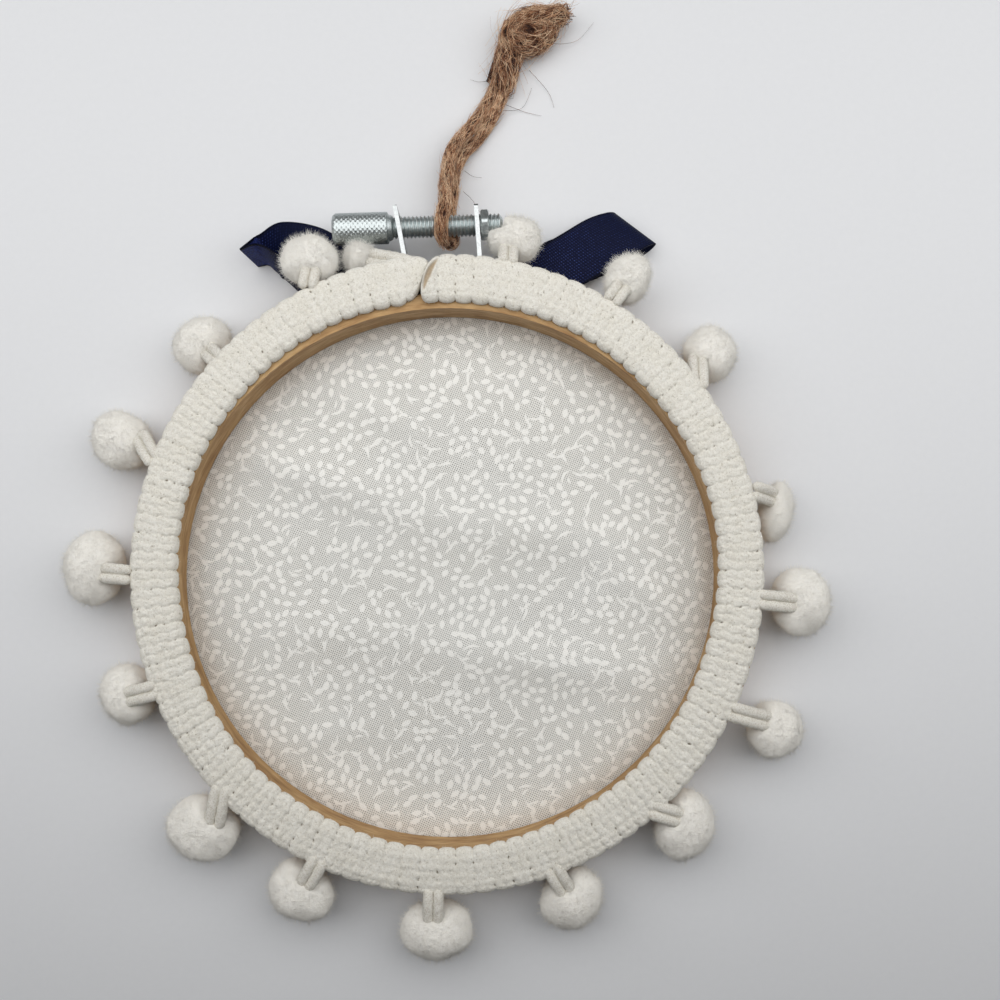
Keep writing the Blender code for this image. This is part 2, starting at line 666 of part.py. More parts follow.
def make_bow_loop(name, rows, parent):
    """A loop of ribbon swept through its rows, which turn and tilt it on the way."""
    middles = curve_through([Vector(row[:3]) for row in rows], BOW_SECTIONS)
    turns = curve_through([Vector((row.heading, row.lean, row.width)) for row in rows], BOW_SECTIONS)
    sections = []
    for i, middle in enumerate(middles):
        along = (middles[min(i + 1, BOW_SECTIONS - 1)] - middles[max(i - 1, 0)]).normalized()
        heading, lean, width = math.radians(turns[i].x), math.radians(turns[i].y), turns[i].z
        level = math.cos(lean)
        up_edge = Vector((math.cos(heading) * level, math.sin(heading) * level, math.sin(lean)))
        face = along.cross(up_edge).normalized() * SHEET / 2
        half = up_edge * width / 2
        corners = [middle - half - face, middle + half - face, middle + half + face, middle - half + face]
        for corner in corners:
            corner.z = max(corner.z, 0.02)
        sections.append(corners)
    return add_piece(name, loft(sections), "navy_satin", parent, sharp=60)


def stand_on_origin(bench, cord_names):
    """Moves the whole so that the middle of its footprint is at the origin, the hanger left out."""
    bpy.context.view_layer.update()
    points = []
    for piece in bpy.data.objects:
        if piece.type == "MESH" and not piece.hide_render and piece.name not in cord_names:
            points += [piece.matrix_world @ vert.co for vert in piece.data.vertices]
    for axis in range(2):
        values = [point[axis] for point in points]
        bench.location[axis] = -(min(values) + max(values)) / 2
    bench.location.z = -min(point.z for point in points)


def main():
    for old in list(bpy.data.objects):
        bpy.data.objects.remove(old, do_unlink=True)
    bench = bpy.data.objects.new("bench", None)
    hoop = bpy.data.objects.new("hoop_frame", None)
    axis = bpy.data.objects.new("screw_axis", None)
    for empty in (bench, hoop, axis):
        bpy.context.collection.objects.link(empty)
    hoop.parent = bench
    hoop.location.z = HOOP_TO_SURFACE.translation.z * MM
    hoop.rotation_euler.x = LEAN
    axis.parent = hoop
    axis.location = (0, SCREW_Y * MM, SCREW_Z * MM)
    axis.rotation_euler.z = math.radians(SCREW_TURN)

    ring_band("inner_ring", INNER_RING_INSIDE, CLOTH_WALL_INSIDE - GAP, SHEET + 2 * GAP, RING_HEIGHT, None, hoop)
    split = (RING_END_LEFT, RING_END_RIGHT + 360)
    ring_band("outer_ring", OUTER_RING_INSIDE, OUTER_RING_OUTSIDE, 0.0, RING_HEIGHT, split, hoop)
    make_cloth(hoop)
    make_braid(hoop)
    for row in POMPOMS:
        make_pompom(row, bench)
        make_tie(row, bench)
    cutter = make_hole_cutter(axis)
    make_ear("ear_left", LEFT_EAR_TIP, RING_END_LEFT, 1, cutter, hoop)
    make_ear("ear_right", RIGHT_EAR_TIP, RING_END_RIGHT, -1, cutter, hoop)
    make_nut(axis)
    make_screw(axis)
    make_strand("twine_left", twine_line(-1), bench)
    make_strand("twine_right", twine_line(1), bench)
    make_strand("twine_end", [Vector(point) for point in TWINE_END_ROUTE], bench)
    make_twine_knot(bench)
    make_bow_knot(bench)
    make_bow_loop("bow_loop_left", LEFT_LOOP, bench)
    make_bow_loop("bow_loop_right", RIGHT_LOOP, bench)
    stand_on_origin(bench, {"twine_left", "twine_right", "twine_end", "twine_knot"})


main()
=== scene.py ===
# %% [markdown]
# # Hoop embroidery art, seen from the back
#
# A small bamboo hoop lies face down on a pale table. It holds printed cotton, wears a scalloped
# braid with pompoms round its back edge, leans on a navy ribbon bow and hangs from a jute loop that
# goes round its thumb screw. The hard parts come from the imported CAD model; this lesson dresses
# them, one piece at a time. It works in millimetres, because that is how a hoop is measured, and
# turns them into metres when a mesh is made.

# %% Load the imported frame
import math

import bpy
import numpy as np
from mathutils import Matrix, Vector, noise


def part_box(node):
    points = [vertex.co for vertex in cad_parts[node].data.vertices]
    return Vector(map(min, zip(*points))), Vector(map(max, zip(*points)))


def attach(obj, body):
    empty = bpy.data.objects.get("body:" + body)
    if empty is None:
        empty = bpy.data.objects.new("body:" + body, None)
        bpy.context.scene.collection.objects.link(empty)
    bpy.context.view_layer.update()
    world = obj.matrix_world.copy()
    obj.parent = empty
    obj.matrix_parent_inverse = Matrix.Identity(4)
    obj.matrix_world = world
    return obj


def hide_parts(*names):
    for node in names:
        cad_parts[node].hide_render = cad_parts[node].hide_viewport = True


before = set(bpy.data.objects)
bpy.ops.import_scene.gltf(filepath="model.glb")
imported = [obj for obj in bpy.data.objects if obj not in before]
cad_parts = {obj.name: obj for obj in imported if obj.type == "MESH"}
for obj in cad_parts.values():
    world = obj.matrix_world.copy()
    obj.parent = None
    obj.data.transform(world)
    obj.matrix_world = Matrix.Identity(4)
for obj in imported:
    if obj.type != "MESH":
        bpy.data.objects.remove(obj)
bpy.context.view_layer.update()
MM = 0.001

# %% [markdown]
# ## Where the hoop lies
#
# The hoop isn't level: its top edge rests on the bow, so it leans by a degree and a half. Each
# piece sewn or glued to it is described on a level hoop first, which is easier to think about, and
# `on_table` then tips it. Pieces that lie on the table, such as the jute, only need `beside_hoop`.

# %% Lean and place of the hoop
HOOP_OVAL = 0.008  # a pressed hoop is a little wider than tall
LEAN_LIFT = 2.74
LEAN_REACH = 54.2 * (1 - HOOP_OVAL)
LEAN = math.asin(LEAN_LIFT / (2 * LEAN_REACH))
RING_MIDDLE_HEIGHT = 5.3
ring_low, ring_high = (np.array(corner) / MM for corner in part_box("inner_ring"))
ring_middle = (ring_low + ring_high) / 2
BENCH = np.array([ring_middle[0], ring_middle[1] + RING_MIDDLE_HEIGHT * math.sin(LEAN), 0.0])


def xyz(x, y, z):
    """Points from their three coordinates."""
    return np.stack(np.broadcast_arrays(x, y, z), -1)


def beside_hoop(points):
    """Millimetres from the hoop's middle, as millimetres in the frame."""
    return np.asarray(points, float) + BENCH


def on_table(points):
    """Points of the level hoop, leant as it lies on the table."""
    x, y, z = np.moveaxis(np.asarray(points, float), -1, 0)
    sine, cosine = math.sin(LEAN), math.cos(LEAN)
    return beside_hoop(xyz(x, y * cosine - z * sine, y * sine + z * cosine + LEAN_REACH * sine))


print(f"the hoop leans {math.degrees(LEAN):.2f} degrees, its middle is at {BENCH.round(3)} mm")

# %% [markdown]
# ## The camera
#
# The picture was taken from nearly straight above and quite close, so the far wall of the hoop's
# recess shows and the near one hides. A lens as long as its sensor is wide, at 184 mm above the
# table and tipped up by 3.4 degrees, gives the same ellipses.

# %% Camera
CAMERA_PLACE = (9.005, 2.617, 184.0)
CAMERA_TILT = 3.4336
lens = bpy.data.cameras.new("camera")
lens.lens = lens.sensor_width = 36
lens.clip_start, lens.clip_end = 0.01, 10
camera = bpy.data.objects.new("camera", lens)
camera.location = beside_hoop(CAMERA_PLACE) * MM
camera.rotation_euler.x = math.radians(CAMERA_TILT)
bpy.context.collection.objects.link(camera)
bpy.context.scene.camera = camera
print("camera at", [round(v, 4) for v in camera.location])

# %% [markdown]
# ## Making meshes from numbers
#
# Yarn, braid and cloth are made of thousands of small repeated forms, so their points are worked
# out in numpy all at once. `add_mesh` turns points and faces into an object, gives it any values
# that its finish reads, lets it ride on a body of the frame and says which CAD solid it replaces.

# %% Mesh helper
triangle_counts = {}


def add_mesh(name, node, points, faces, finish, slot, body="root", values=None, normals=None, sharp=None):
    """A piece from points in millimetres and some arrays of faces, in place of a solid of the frame."""
    mesh = bpy.data.meshes.new(name)
    corners = [face for part in faces for face in part.tolist()]
    mesh.from_pydata((np.asarray(points) * MM).tolist(), [], corners)
    for key, value in (values or {}).items():
        mesh.attributes.new(key, "FLOAT", "POINT").data.foreach_set("value", np.asarray(value, np.float32))
    mesh.shade_smooth()
    if sharp is not None:
        mesh.set_sharp_from_angle(angle=math.radians(sharp))
    if normals is not None:
        mesh.normals_split_custom_set_from_vertices(np.asarray(normals).tolist())
    mesh.materials.append(finish)
    piece = bpy.data.objects.new(name, mesh)
    bpy.context.collection.objects.link(piece)
    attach(piece, body)
    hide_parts(node)
    triangle_counts[name] = sum(len(part) * (part.shape[1] - 2) for part in faces)
    print(f"{name}: {triangle_counts[name]} triangles")
    return piece


def grid_faces(rows, columns, round_columns=True, round_rows=False, start=0):
    """Faces of a grid of points laid out row by row, closed round either way if asked."""
    r = np.arange(rows if round_rows else rows - 1)[:, None]
    c = np.arange(columns if round_columns else columns - 1)[None, :]
    low, high = r * columns, ((r + 1) % rows) * columns
    right = (c + 1) % columns
    return np.stack([low + c, low + right, high + right, high + c], -1).reshape(-1, 4) + start


def tube_faces(rows, columns):
    """Faces of a tube laid out ring by ring, with both of its ends closed."""
    ring = np.arange(columns)[None]
    return [grid_faces(rows, columns), ring[:, ::-1], (rows - 1) * columns + ring]


def circle(count):
    """Angles of so many even steps round a circle."""
    return 2 * np.pi * np.arange(count) / count


def between(first, second, angle):
    """Vectors turned by an angle from the first way towards the second."""
    angle = np.asarray(angle)[..., None]
    return first * np.cos(angle) + second * np.sin(angle)


def unit(vectors):
    return vectors / np.maximum(np.linalg.norm(vectors, axis=-1, keepdims=True), 1e-9)


def smooth_step(value):
    value = np.clip(value, 0.0, 1.0)
    return value * value * (3 - 2 * value)


def bell(value, wide):
    """1 in the middle, fading out over a width to both sides."""
    return np.exp(-((value / wide) ** 2))


# %% [markdown]
# ## Following a route
#
# Cords and ribbons follow a smooth curve through a few points. Catmull-Rom is handy here, because
# the curve passes through each point given. `frames` carries a pair of side directions along the
# curve without letting them twist, so a tube or a ribbon swept along it doesn't wring.

# %% Routes
def curve_through(points, count):
    """count points on a smooth curve through rows of numbers."""
    points = np.asarray(points, float)
    last = len(points) - 1
    place = np.linspace(0, last, count)
    k = np.minimum(place.astype(int), last - 1)
    t = (place - k)[:, None]
    a, b = points[np.maximum(k - 1, 0)], points[k]
    c, d = points[k + 1], points[np.minimum(k + 2, last)]
    return 0.5 * (2 * b + (c - a) * t + (2 * a - 5 * b + 4 * c - d) * t**2 + (3 * b - a - 3 * c + d) * t**3)


def travelled(route):
    """Distance along a route at each of its points."""
    steps = np.linalg.norm(np.diff(route, axis=0), axis=1)
    return np.concatenate([[0.0], np.cumsum(steps)])


def even_route(points, step):
    """Points about one step apart along a smooth curve through the given ones."""
    fine = curve_through(points, 600)
    way = travelled(fine)
    places = np.linspace(0, way[-1], max(2, round(way[-1] / step)) + 1)
    return np.stack([np.interp(places, way, fine[:, k]) for k in range(3)], -1)


def frames(route, first_side=(1.0, 0.0, 0.0)):
    """Directions ahead, aside and up at each point of a route."""
    ahead = unit(np.gradient(route, axis=0))
    aside = np.zeros_like(ahead)
    side = np.array(first_side)
    for i, way in enumerate(ahead):
        side = side - way * side.dot(way)
        side = side / max(np.linalg.norm(side), 1e-9)
        aside[i] = side
    return ahead, aside, np.cross(ahead, aside)


def tubes(paths, radii, sides=3):
    """Points and faces of many thin tubes at once; paths is fibres x steps x 3."""
    count, steps, _ = paths.shape
    ahead = unit(np.gradient(paths, axis=1))
    aside = unit(np.cross(ahead, np.array([0.31, -0.22, 0.93])))
    ring = between(aside[:, :, None], np.cross(ahead, aside)[:, :, None], circle(sides))
    points = paths[:, :, None] + ring * np.broadcast_to(radii, (count, steps))[:, :, None, None]
    faces = np.arange(count)[:, None, None] * steps * sides + grid_faces(steps, sides)
    return points.reshape(-1, 3), faces.reshape(-1, 4)


def gather(parts):
    """Joins (points, faces, value) parts into one set of points, faces and values."""
    points, faces, values, start = [], [], [], 0
    for some_points, some_faces, value in parts:
        points.append(some_points)
        faces.append(some_faces + start)
        values.append(np.broadcast_to(value, len(some_points)))
        start += len(some_points)
    return np.concatenate(points), faces, np.concatenate(values)


# %% [markdown]
# ## Building a finish
#
# Each finish is a small network of nodes under one Principled shader. `Finish` keeps the building
# short: it makes a node, feeds its sockets with numbers or other nodes, and hands back what comes
# out as a `Value`, which adds and multiplies like a number. Object coordinates are scaled to
# millimetres first, so a thread or a grain line has its real size in the pattern.

# %% Finish helper
def seen(red, green, blue):
    """A colour as it looks on a screen, from 0 to 255, in the linear light that shaders use."""
    parts = [value / 255 for value in (red, green, blue)]
    return (*[p / 12.92 if p <= 0.04045 else ((p + 0.055) / 1.055) ** 2.4 for p in parts], 1.0)


class Value:
    """What comes out of a node of a finish."""

    def __init__(self, finish, socket):
        self.finish, self.socket = finish, socket

    def __add__(self, other):
        return self.finish.math("ADD", self, other)

    def __sub__(self, other):
        return self.finish.math("SUBTRACT", self, other)

    def __mul__(self, other):
        return self.finish.math("MULTIPLY", self, other)


class Finish:
    """One procedural material, built a node at a time."""

    def __init__(self, name, rough=0.5, shine=0.5, sheen=0.0, **sockets):
        self.material = bpy.data.materials.new(name)
        self.material.use_nodes = True
        self.tree = self.material.node_tree
        self.shader = self.tree.nodes["Principled BSDF"]
        sockets |= {"Roughness": rough, "Specular IOR Level": shine, "Sheen Weight": sheen}
        for socket, value in sockets.items():
            self.shader.inputs[socket].default_value = value
        self.place = self.vector("SCALE", self.node("TexCoord", out="Object"), scale=1 / MM)

    def node(self, kind, *feeds, out=0, **settings):
        made = self.tree.nodes.new("ShaderNode" + kind)
        for key, value in settings.items():
            setattr(made, key, value)
        for socket, value in feeds:
            self.feed(made.inputs[socket], value)
        return Value(self, made.outputs[out])

    def feed(self, socket, value):
        if isinstance(value, Value):
            self.tree.links.new(value.socket, socket)
        else:
            socket.default_value = value

    def math(self, operation, a, b=0.0):
        return self.node("Math", (0, a), (1, b), operation=operation)

    def vector(self, operation, a, b=(0, 0, 0), scale=1.0):
        out = "Value" if operation == "LENGTH" else "Vector"
        return self.node("VectorMath", (0, a), (1, b), (3, scale), out=out, operation=operation)

    def split(self, vector):
        return [Value(self, part) for part in self.node("SeparateXYZ", (0, vector)).socket.node.outputs]

    def join(self, x, y, z=0.0):
        return self.node("CombineXYZ", (0, x), (1, y), (2, z))

    def turned(self, vector, angle, centre=(0, 0, 0), axis="Z_AXIS"):
        return self.node("VectorRotate", ("Vector", vector), ("Center", centre), ("Angle", angle),
                         rotation_type=axis)

    def noise(self, scale, detail=2.0, rough=0.5, place=None, w=None, out="Fac"):
        feeds = [("Vector", place or self.place), ("Scale", scale), ("Detail", detail), ("Roughness", rough)]
        if w is None:
            return self.node("TexNoise", *feeds, out=out)
        return self.node("TexNoise", *feeds, ("W", w), out=out, noise_dimensions="4D")

    def ease(self, value, low, high, at_low=0.0, at_high=1.0):
        return self.node("MapRange", ("Value", value), ("From Min", low), ("From Max", high),
                         ("To Min", at_low), ("To Max", at_high), interpolation_type="SMOOTHSTEP")

    def value(self, name):
        return self.node("Attribute", out="Fac", attribute_name=name)

    def mix(self, factor, a, b):
        """A blend of two colours, each of them a value or three numbers from 0 to 255."""
        a, b = (seen(*colour) if isinstance(colour, tuple) else colour for colour in (a, b))
        return self.node("Mix", (0, factor), (6, a), (7, b), out=2, data_type="RGBA")

    def shade(self, value, *stops):
        """Colours at places along a value, smooth between them."""
        made = self.node("ValToRGB", (0, value))
        ramp = made.socket.node.color_ramp
        while len(ramp.elements) < len(stops):
            ramp.elements.new(0.5)
        for element, (place, colour) in zip(ramp.elements, stops):
            element.position, element.color = place, seen(*colour)
        return made

    def bump(self, height, depth, strength=1.0):
        """Bump from a height that runs from 0 to 1 over a depth in millimetres."""
        return self.node("Bump", ("Height", height), ("Distance", depth * MM), ("Strength", strength))

    def finish(self, colour, normal, roughness=None):
        for socket, value in (("Base Color", colour), ("Normal", normal), ("Roughness", roughness)):
            if value is not None:
                self.feed(self.shader.inputs[socket], value)
        return self.material


# %% [markdown]
# ## Jute twine
#
# The hanger is a doubled length of jute that goes round the thumb screw and ends in a knot. Jute is
# hairy: what shows is not a smooth rope but hundreds of golden fibres that cross each other, with
# dark gaps between them. So each strand is a core, given the darkest colour as painted shade for
# those gaps, with a great many thin fibres wound round it at different depths, the deeper ones in
# darker painted shade, and a fringe of stray ones that stand off.

# %% The finish of jute
def jute_finish():
    jute = Finish("jute", rough=0.62, shine=0.25, sheen=0.15)
    patches, streaks = jute.noise(0.75), jute.noise(6.0)
    # painted shade: the shade value is lowest on the cores, the deep fibres, the knot's hollow and the tag
    # end; the rest is the fibres' own random tone
    tone = jute.value("shade") + (streaks - 0.5) * 0.6 + (patches - 0.5) * 1.4
    colour = jute.shade(tone, (0.1, (56, 30, 20)), (0.4, (140, 88, 58)), (0.7, (202, 150, 110)),
                        (1.0, (246, 214, 178)))
    return jute.finish(colour, jute.bump(streaks, 0.05, 0.6))


JUTE = jute_finish()
print("finish", JUTE.name)

# %% A strand of twine
def along_route(rows, places):
    """Rows of a route at places between its points."""
    low = np.clip(places.astype(int), 0, len(rows) - 2)
    share = (places - low)[..., None]
    return rows[low] * (1 - share) + rows[low + 1] * share


def twine_parts(route, radius, pitch, rng, fibres=150, hairs=900, reach=0.8, swell=1.0, cut_end=0.8,
                loose=0.08):
    """Core, wound fibres and loose hairs of one strand, as parts for gather."""
    _, aside, up = frames(route)
    way = travelled(route)
    from_end = np.minimum(way, way[-1] - way)
    ends = np.clip(from_end / 1.2, cut_end, 1.0) * np.broadcast_to(swell, way.shape)
    blunt = np.clip(from_end / 1.5, 0.1, 1.0)
    # painted shade: the core carries the darkest value, for the shade in the gaps between the fibres
    parts = [(*tubes(route[None], radius * 0.6 * ends * blunt, 10), 0.0)]
    start = rng.uniform(0, 2 * np.pi, (fibres, 1))
    bend = rng.uniform(5, 14, (fibres, 1))
    angle = start - 2 * np.pi * way / (pitch * rng.uniform(0.8, 1.9, (fibres, 1)))
    angle = angle + rng.uniform(0.2, 0.6, (fibres, 1)) * np.sin(2 * np.pi * way / bend + start * 5)
    depth = rng.uniform(0.55, 1.0, (fibres, 1)) + 0.1 * np.sin(2 * np.pi * way / (bend * 0.8) + start * 9)
    plies = 0.82 + 0.18 * np.cos(2 * (angle + 2 * np.pi * way / pitch))
    lay = radius * depth * plies * ends
    paths = route + between(aside, up, angle) * lay[..., None]
    wander = rng.normal(0, 1, (2, fibres, 1, 3)) * np.sin(2 * np.pi * way / bend + start)[None, ..., None]
    paths = paths + loose * radius * (wander[0] + wander[1] * 0.5)
    paths[..., 2] = np.maximum(paths[..., 2], 0.08)
    points, faces = tubes(paths, rng.uniform(0.03, 0.065, (fibres, 1)))
    # painted shade: fibres that lie deeper in the strand are darker
    tone = rng.uniform(0.2, 1.15, (fibres, 1)) * (0.2 + 0.8 * np.clip((depth * plies - 0.45) / 0.4, 0, 1))
    parts.append((points, faces, np.repeat(tone, 3, axis=1).ravel()))
    parts.append(loose_hairs(route, aside, up, radius * ends, rng, hairs, reach))
    return parts


def loose_hairs(route, aside, up, radius, rng, count, reach, steps=8):
    """Hairs that cross the strand's surface and lift off it, most of them only a little."""
    t = np.linspace(0, 1, steps)
    step = travelled(route)[-1] / (len(route) - 1)
    run = rng.uniform(2.0, 5.5, count) / step * rng.choice([-1, 1], count)
    first = rng.uniform(0, len(route) - 1, count)
    places = np.clip(first[:, None] + run[:, None] * t, 0, len(route) - 1.001)
    angle = rng.uniform(0, 2 * np.pi, count)[:, None] + rng.normal(0, 1.1, count)[:, None] * t
    outwards = between(along_route(aside, places), along_route(up, places), angle)
    lift = reach * rng.random((count, 1)) ** 2.0 * t**1.6
    away = along_route(radius[:, None], places)[..., 0] * 0.97 + lift
    sway = np.clip(rng.normal(0, 1, (count, 1, 3)), -1.5, 1.5) * (lift * 0.35)[..., None]
    paths = along_route(route, places) + outwards * away[..., None] + sway
    paths[..., 2] = np.maximum(paths[..., 2], 0.06)
    thin = np.where(lift[:, -1:] > 0.25 * reach, 0.7, 1.0)
    points, faces = tubes(paths, rng.uniform(0.035, 0.065, (count, 1)) * thin * (1.15 - 0.8 * t))
    return points, faces, np.repeat(rng.uniform(0.45, 1.15, count), steps * 3)


def add_jute(name, node, points, faces, shade):
    return add_mesh(name, node, points, faces, JUTE, "jute", values={"shade": shade})


# %% The two strands of the hanger
SCREW_Y, SCREW_Z = 62.65, 4.6
THREAD_RADIUS = 1.95
TWINE_RADIUS = 0.98
TWINE_SPACING = 2.3
TWINE_GAP = 0.45
TWINE_PITCH = 15.0
TWINE_LEAN = 0.22
STRANDS_BEHIND = 0.6  # how much further each strand goes behind the other above the screw
FLUFF = 1.2  # how much wider the loose hairs make a strand than its firm part
TWINE_STEP = 1.0
TWINE_ROUTE = np.array([  # x, y, height of the left strand, height of the right strand
    (-0.5, 66.4, 9.6, 3.9), (-0.3, 71.1, 7.0, 2.8), (0.1, 75.0, 5.2, 2.2), (1.5, 78.6, 3.7, 1.8),
    (4.2, 82.1, 2.3, 1.4), (6.6, 86.0, 1.4, 1.15), (8.7, 90.3, 1.15, 1.15), (10.7, 94.7, 1.4, 1.4),
])


def twine_line(side):
    """Half way round the screw, then along the route; side is -1 for left and 1 for right."""
    middle = on_table((0, SCREW_Y, SCREW_Z)) - BENCH
    wrap = THREAD_RADIUS + TWINE_RADIUS + TWINE_GAP
    angle = np.radians([3, 32, 62, 92])
    turn = xyz(TWINE_ROUTE[0, 0] + side * TWINE_SPACING / 2, middle[1] - np.cos(angle) * wrap,
               middle[2] - side * np.sin(angle) * wrap)
    here = TWINE_ROUTE[:, :2]
    along = unit(np.concatenate([[here[1] - here[0]], here[2:] - here[:-2], [here[-1] - here[-2]]]))
    aside = np.stack([along[:, 1], -along[:, 0]], -1) * side * TWINE_SPACING / 2
    height = TWINE_ROUTE[:, 2 if side < 0 else 3]
    return np.concatenate([turn, np.column_stack([here + aside, height])])


def drawn_together(route, side):
    """The same strand as it looks: the pair twists a little, touches, and joins below the screw."""
    way = travelled(route)
    wind = 2 * np.pi * way / TWINE_PITCH
    _, aside, _ = frames(route)
    behind = smooth_step((way - 5) / 4) * smooth_step((22 - way) / 6)
    lean = TWINE_LEAN * (1 - 0.6 * np.cos(wind)) + STRANDS_BEHIND * behind + 0.6 * smooth_step(1 - way / 3.5)
    return route - aside * (side * lean)[:, None] + xyz(0, 0, side * 0.35 * np.sin(wind))


def make_strand(name, node, side, seed):
    route = even_route(beside_hoop(twine_line(side)), TWINE_STEP)
    rng = np.random.default_rng(seed)
    drawn = drawn_together(route, side)
    strand = add_jute(name, node, *gather(twine_parts(drawn, TWINE_RADIUS * FLUFF, TWINE_PITCH, rng)))
    print(f"{name} is {travelled(route)[-1]:.1f} mm long")
    return strand, route


jute_left, left_route = make_strand("jute_left", "twine_left", -1, 11)
jute_right, right_route = make_strand("jute_right", "twine_right", 1, 12)

# %% [markdown]
# ## The knot and its tag end
#
# The doubled twine ends in one overhand knot, pulled tight. The twine has frayed there, so the knot
# looks like a fluffy fist: one thick bundle that goes up, folds over and comes back under itself.
# The same strand maker is used with a swollen radius and longer hairs, and painted shade darkens
# the knot round its hollow. A short cut end lies along its left side, darkened all over with
# painted shade, and a few long hairs have come loose.

# %% The knot
KNOT_ROUTE = (  # x, y, z of the bundle's middle, and how thick it is
    (9.0, 89.4, 1.6, 1.7), (9.9, 92.6, 2.2, 2.3), (10.6, 96.0, 2.8, 2.5), (11.4, 99.4, 3.0, 2.4),
    (13.0, 102.3, 3.1, 2.3), (15.8, 103.5, 3.1, 2.2), (18.0, 102.8, 3.0, 2.1), (17.6, 100.8, 2.8, 2.0),
    (15.4, 99.0, 2.8, 2.0), (12.6, 98.2, 3.8, 2.0), (10.9, 99.6, 4.7, 1.8), (12.6, 101.6, 5.0, 1.8),
    (15.4, 102.4, 4.7, 1.7), (18.2, 103.2, 4.4, 1.6), (20.2, 103.9, 3.6, 1.8), (21.6, 104.3, 3.0, 1.6),
)
KNOT_MIDDLE, KNOT_SIZE = (14.4, 100.6, 3.2), (4.9, 3.9, 2.9)
KNOT_HOLLOW, HOLLOW_SHADE_WIDE = (14.4, 99.9), 1.1
LOOSE_HAIRS = (
    ((17.5, 99.2, 2.6), (20.6, 99.4, 1.6), (23.9, 100.8, 0.6), (26.7, 104.2, 0.4)),
    ((19.8, 102.5, 3.2), (22.0, 105.0, 3.6), (22.9, 107.2, 3.4)),
    ((9.6, 86.8, 1.0), (13.2, 87.6, 0.5), (15.0, 91.5, 0.4)),
    ((14.5, 94.6, 1.0), (18.0, 90.8, 0.4), (19.2, 87.7, 0.3)),
    ((10.0, 88.0, 1.0), (13.6, 86.9, 0.3), (16.8, 86.1, 0.3)),
    ((6.6, 92.6, 0.8), (4.9, 92.6, 0.5), (3.4, 93.1, 0.4)),
    ((2.2, 70.8, 2.4), (3.9, 69.6, 1.0), (5.3, 67.4, 0.5)),
    ((2.4, 74.9, 2.0), (3.9, 74.3, 0.8), (5.6, 74.2, 0.4)),
)
HAIR_RADIUS = 0.045


def tangle(middle, size, rng, count, steps=12):
    """Fibres that run over a lump every which way."""
    axis = unit(rng.normal(0, 1, (count, 1, 3)))
    first = unit(np.cross(axis, rng.normal(0, 1, (count, 1, 3))))
    turn = rng.uniform(0.6, 2.4, (count, 1)) * np.linspace(0, 1, steps)
    ways = between(first, np.cross(axis, first), turn)
    depth = rng.uniform(0.78, 1.04, (count, 1)) + 0.07 * np.sin(turn * 4 + rng.uniform(0, 6, (count, 1)))
    points, faces = tubes(middle + ways * size * depth[..., None], rng.uniform(0.03, 0.07, (count, 1)))
    # painted shade: fibres deeper in the lump are darker
    tone = rng.uniform(0.15, 1.25, (count, 1)) * (0.3 + 0.7 * np.clip((depth - 0.82) / 0.2, 0, 1))
    return points, faces, np.repeat(tone, 3, axis=1).ravel()


def make_knot():
    rng = np.random.default_rng(13)
    rows = curve_through(KNOT_ROUTE, 60)
    parts = twine_parts(beside_hoop(rows[:, :3]), 1.0, 17.0, rng, 200, 1100, 2.6, rows[:, 3], 0.4, 0.5)
    parts.append(tangle(beside_hoop(KNOT_MIDDLE), KNOT_SIZE, rng, 420))
    for hair in LOOSE_HAIRS:
        line = beside_hoop(curve_through(hair, 14))
        parts.append((*tubes(line[None], HAIR_RADIUS * np.linspace(1, 0.4, 14)), 0.15))
    points, faces, shade = gather(parts)
    points[:, 2] = np.maximum(points[:, 2], 0.05)
    # painted shade: the knot is darkened round its hollow
    from_hollow = np.linalg.norm((points - beside_hoop((*KNOT_HOLLOW, 0)))[:, :2], axis=1)
    shade = shade * (1 - 0.65 * bell(from_hollow, HOLLOW_SHADE_WIDE))
    return add_jute("jute_knot", "twine_knot", points, faces, shade)


def make_tag():
    route = even_route(beside_hoop([(9.4, 98.4, 2.4), (8.3, 95.6, 1.9), (6.7, 92.3, 1.2)]), 0.4)
    way = travelled(route)
    thin = 0.95 - 0.65 * way / way[-1]
    points, faces, shade = gather(twine_parts(route, 1.0, 15.0, np.random.default_rng(14), 60, 60, 0.4, thin))
    # painted shade: the tag end is darkened all over
    return add_jute("jute_tag", "twine_end", points, faces, shade * 0.35 - 0.1)


jute_knot, jute_tag = make_knot(), make_tag()

# %% The hanger's strands and their routes
for strand, route, pieces in ((jute_left, left_route, (jute_knot, jute_tag)), (jute_right, right_route, ())):
    route[0] * MM
    route * MM

# %% [markdown]
# ## Bamboo rings
#
# The rings are strips of bamboo bent into a circle, so their grain runs round and round. The CAD
# rings have the right shape and keep it. The finish needs a pattern that is stretched along the
# circumference: four-dimensional noise does it without a seam, with the direction from the middle
# in a coarse scale, and height and radius in a fine one.

# %% The finish of bamboo
def hoop_place(finish):
    """Coordinates of the level hoop, in millimetres from its middle."""
    level = finish.turned(finish.place, -LEAN, tuple(BENCH), "X_AXIS")
    return finish.vector("SUBTRACT", level, tuple(BENCH + (0, 0, LEAN_REACH * math.sin(LEAN))))


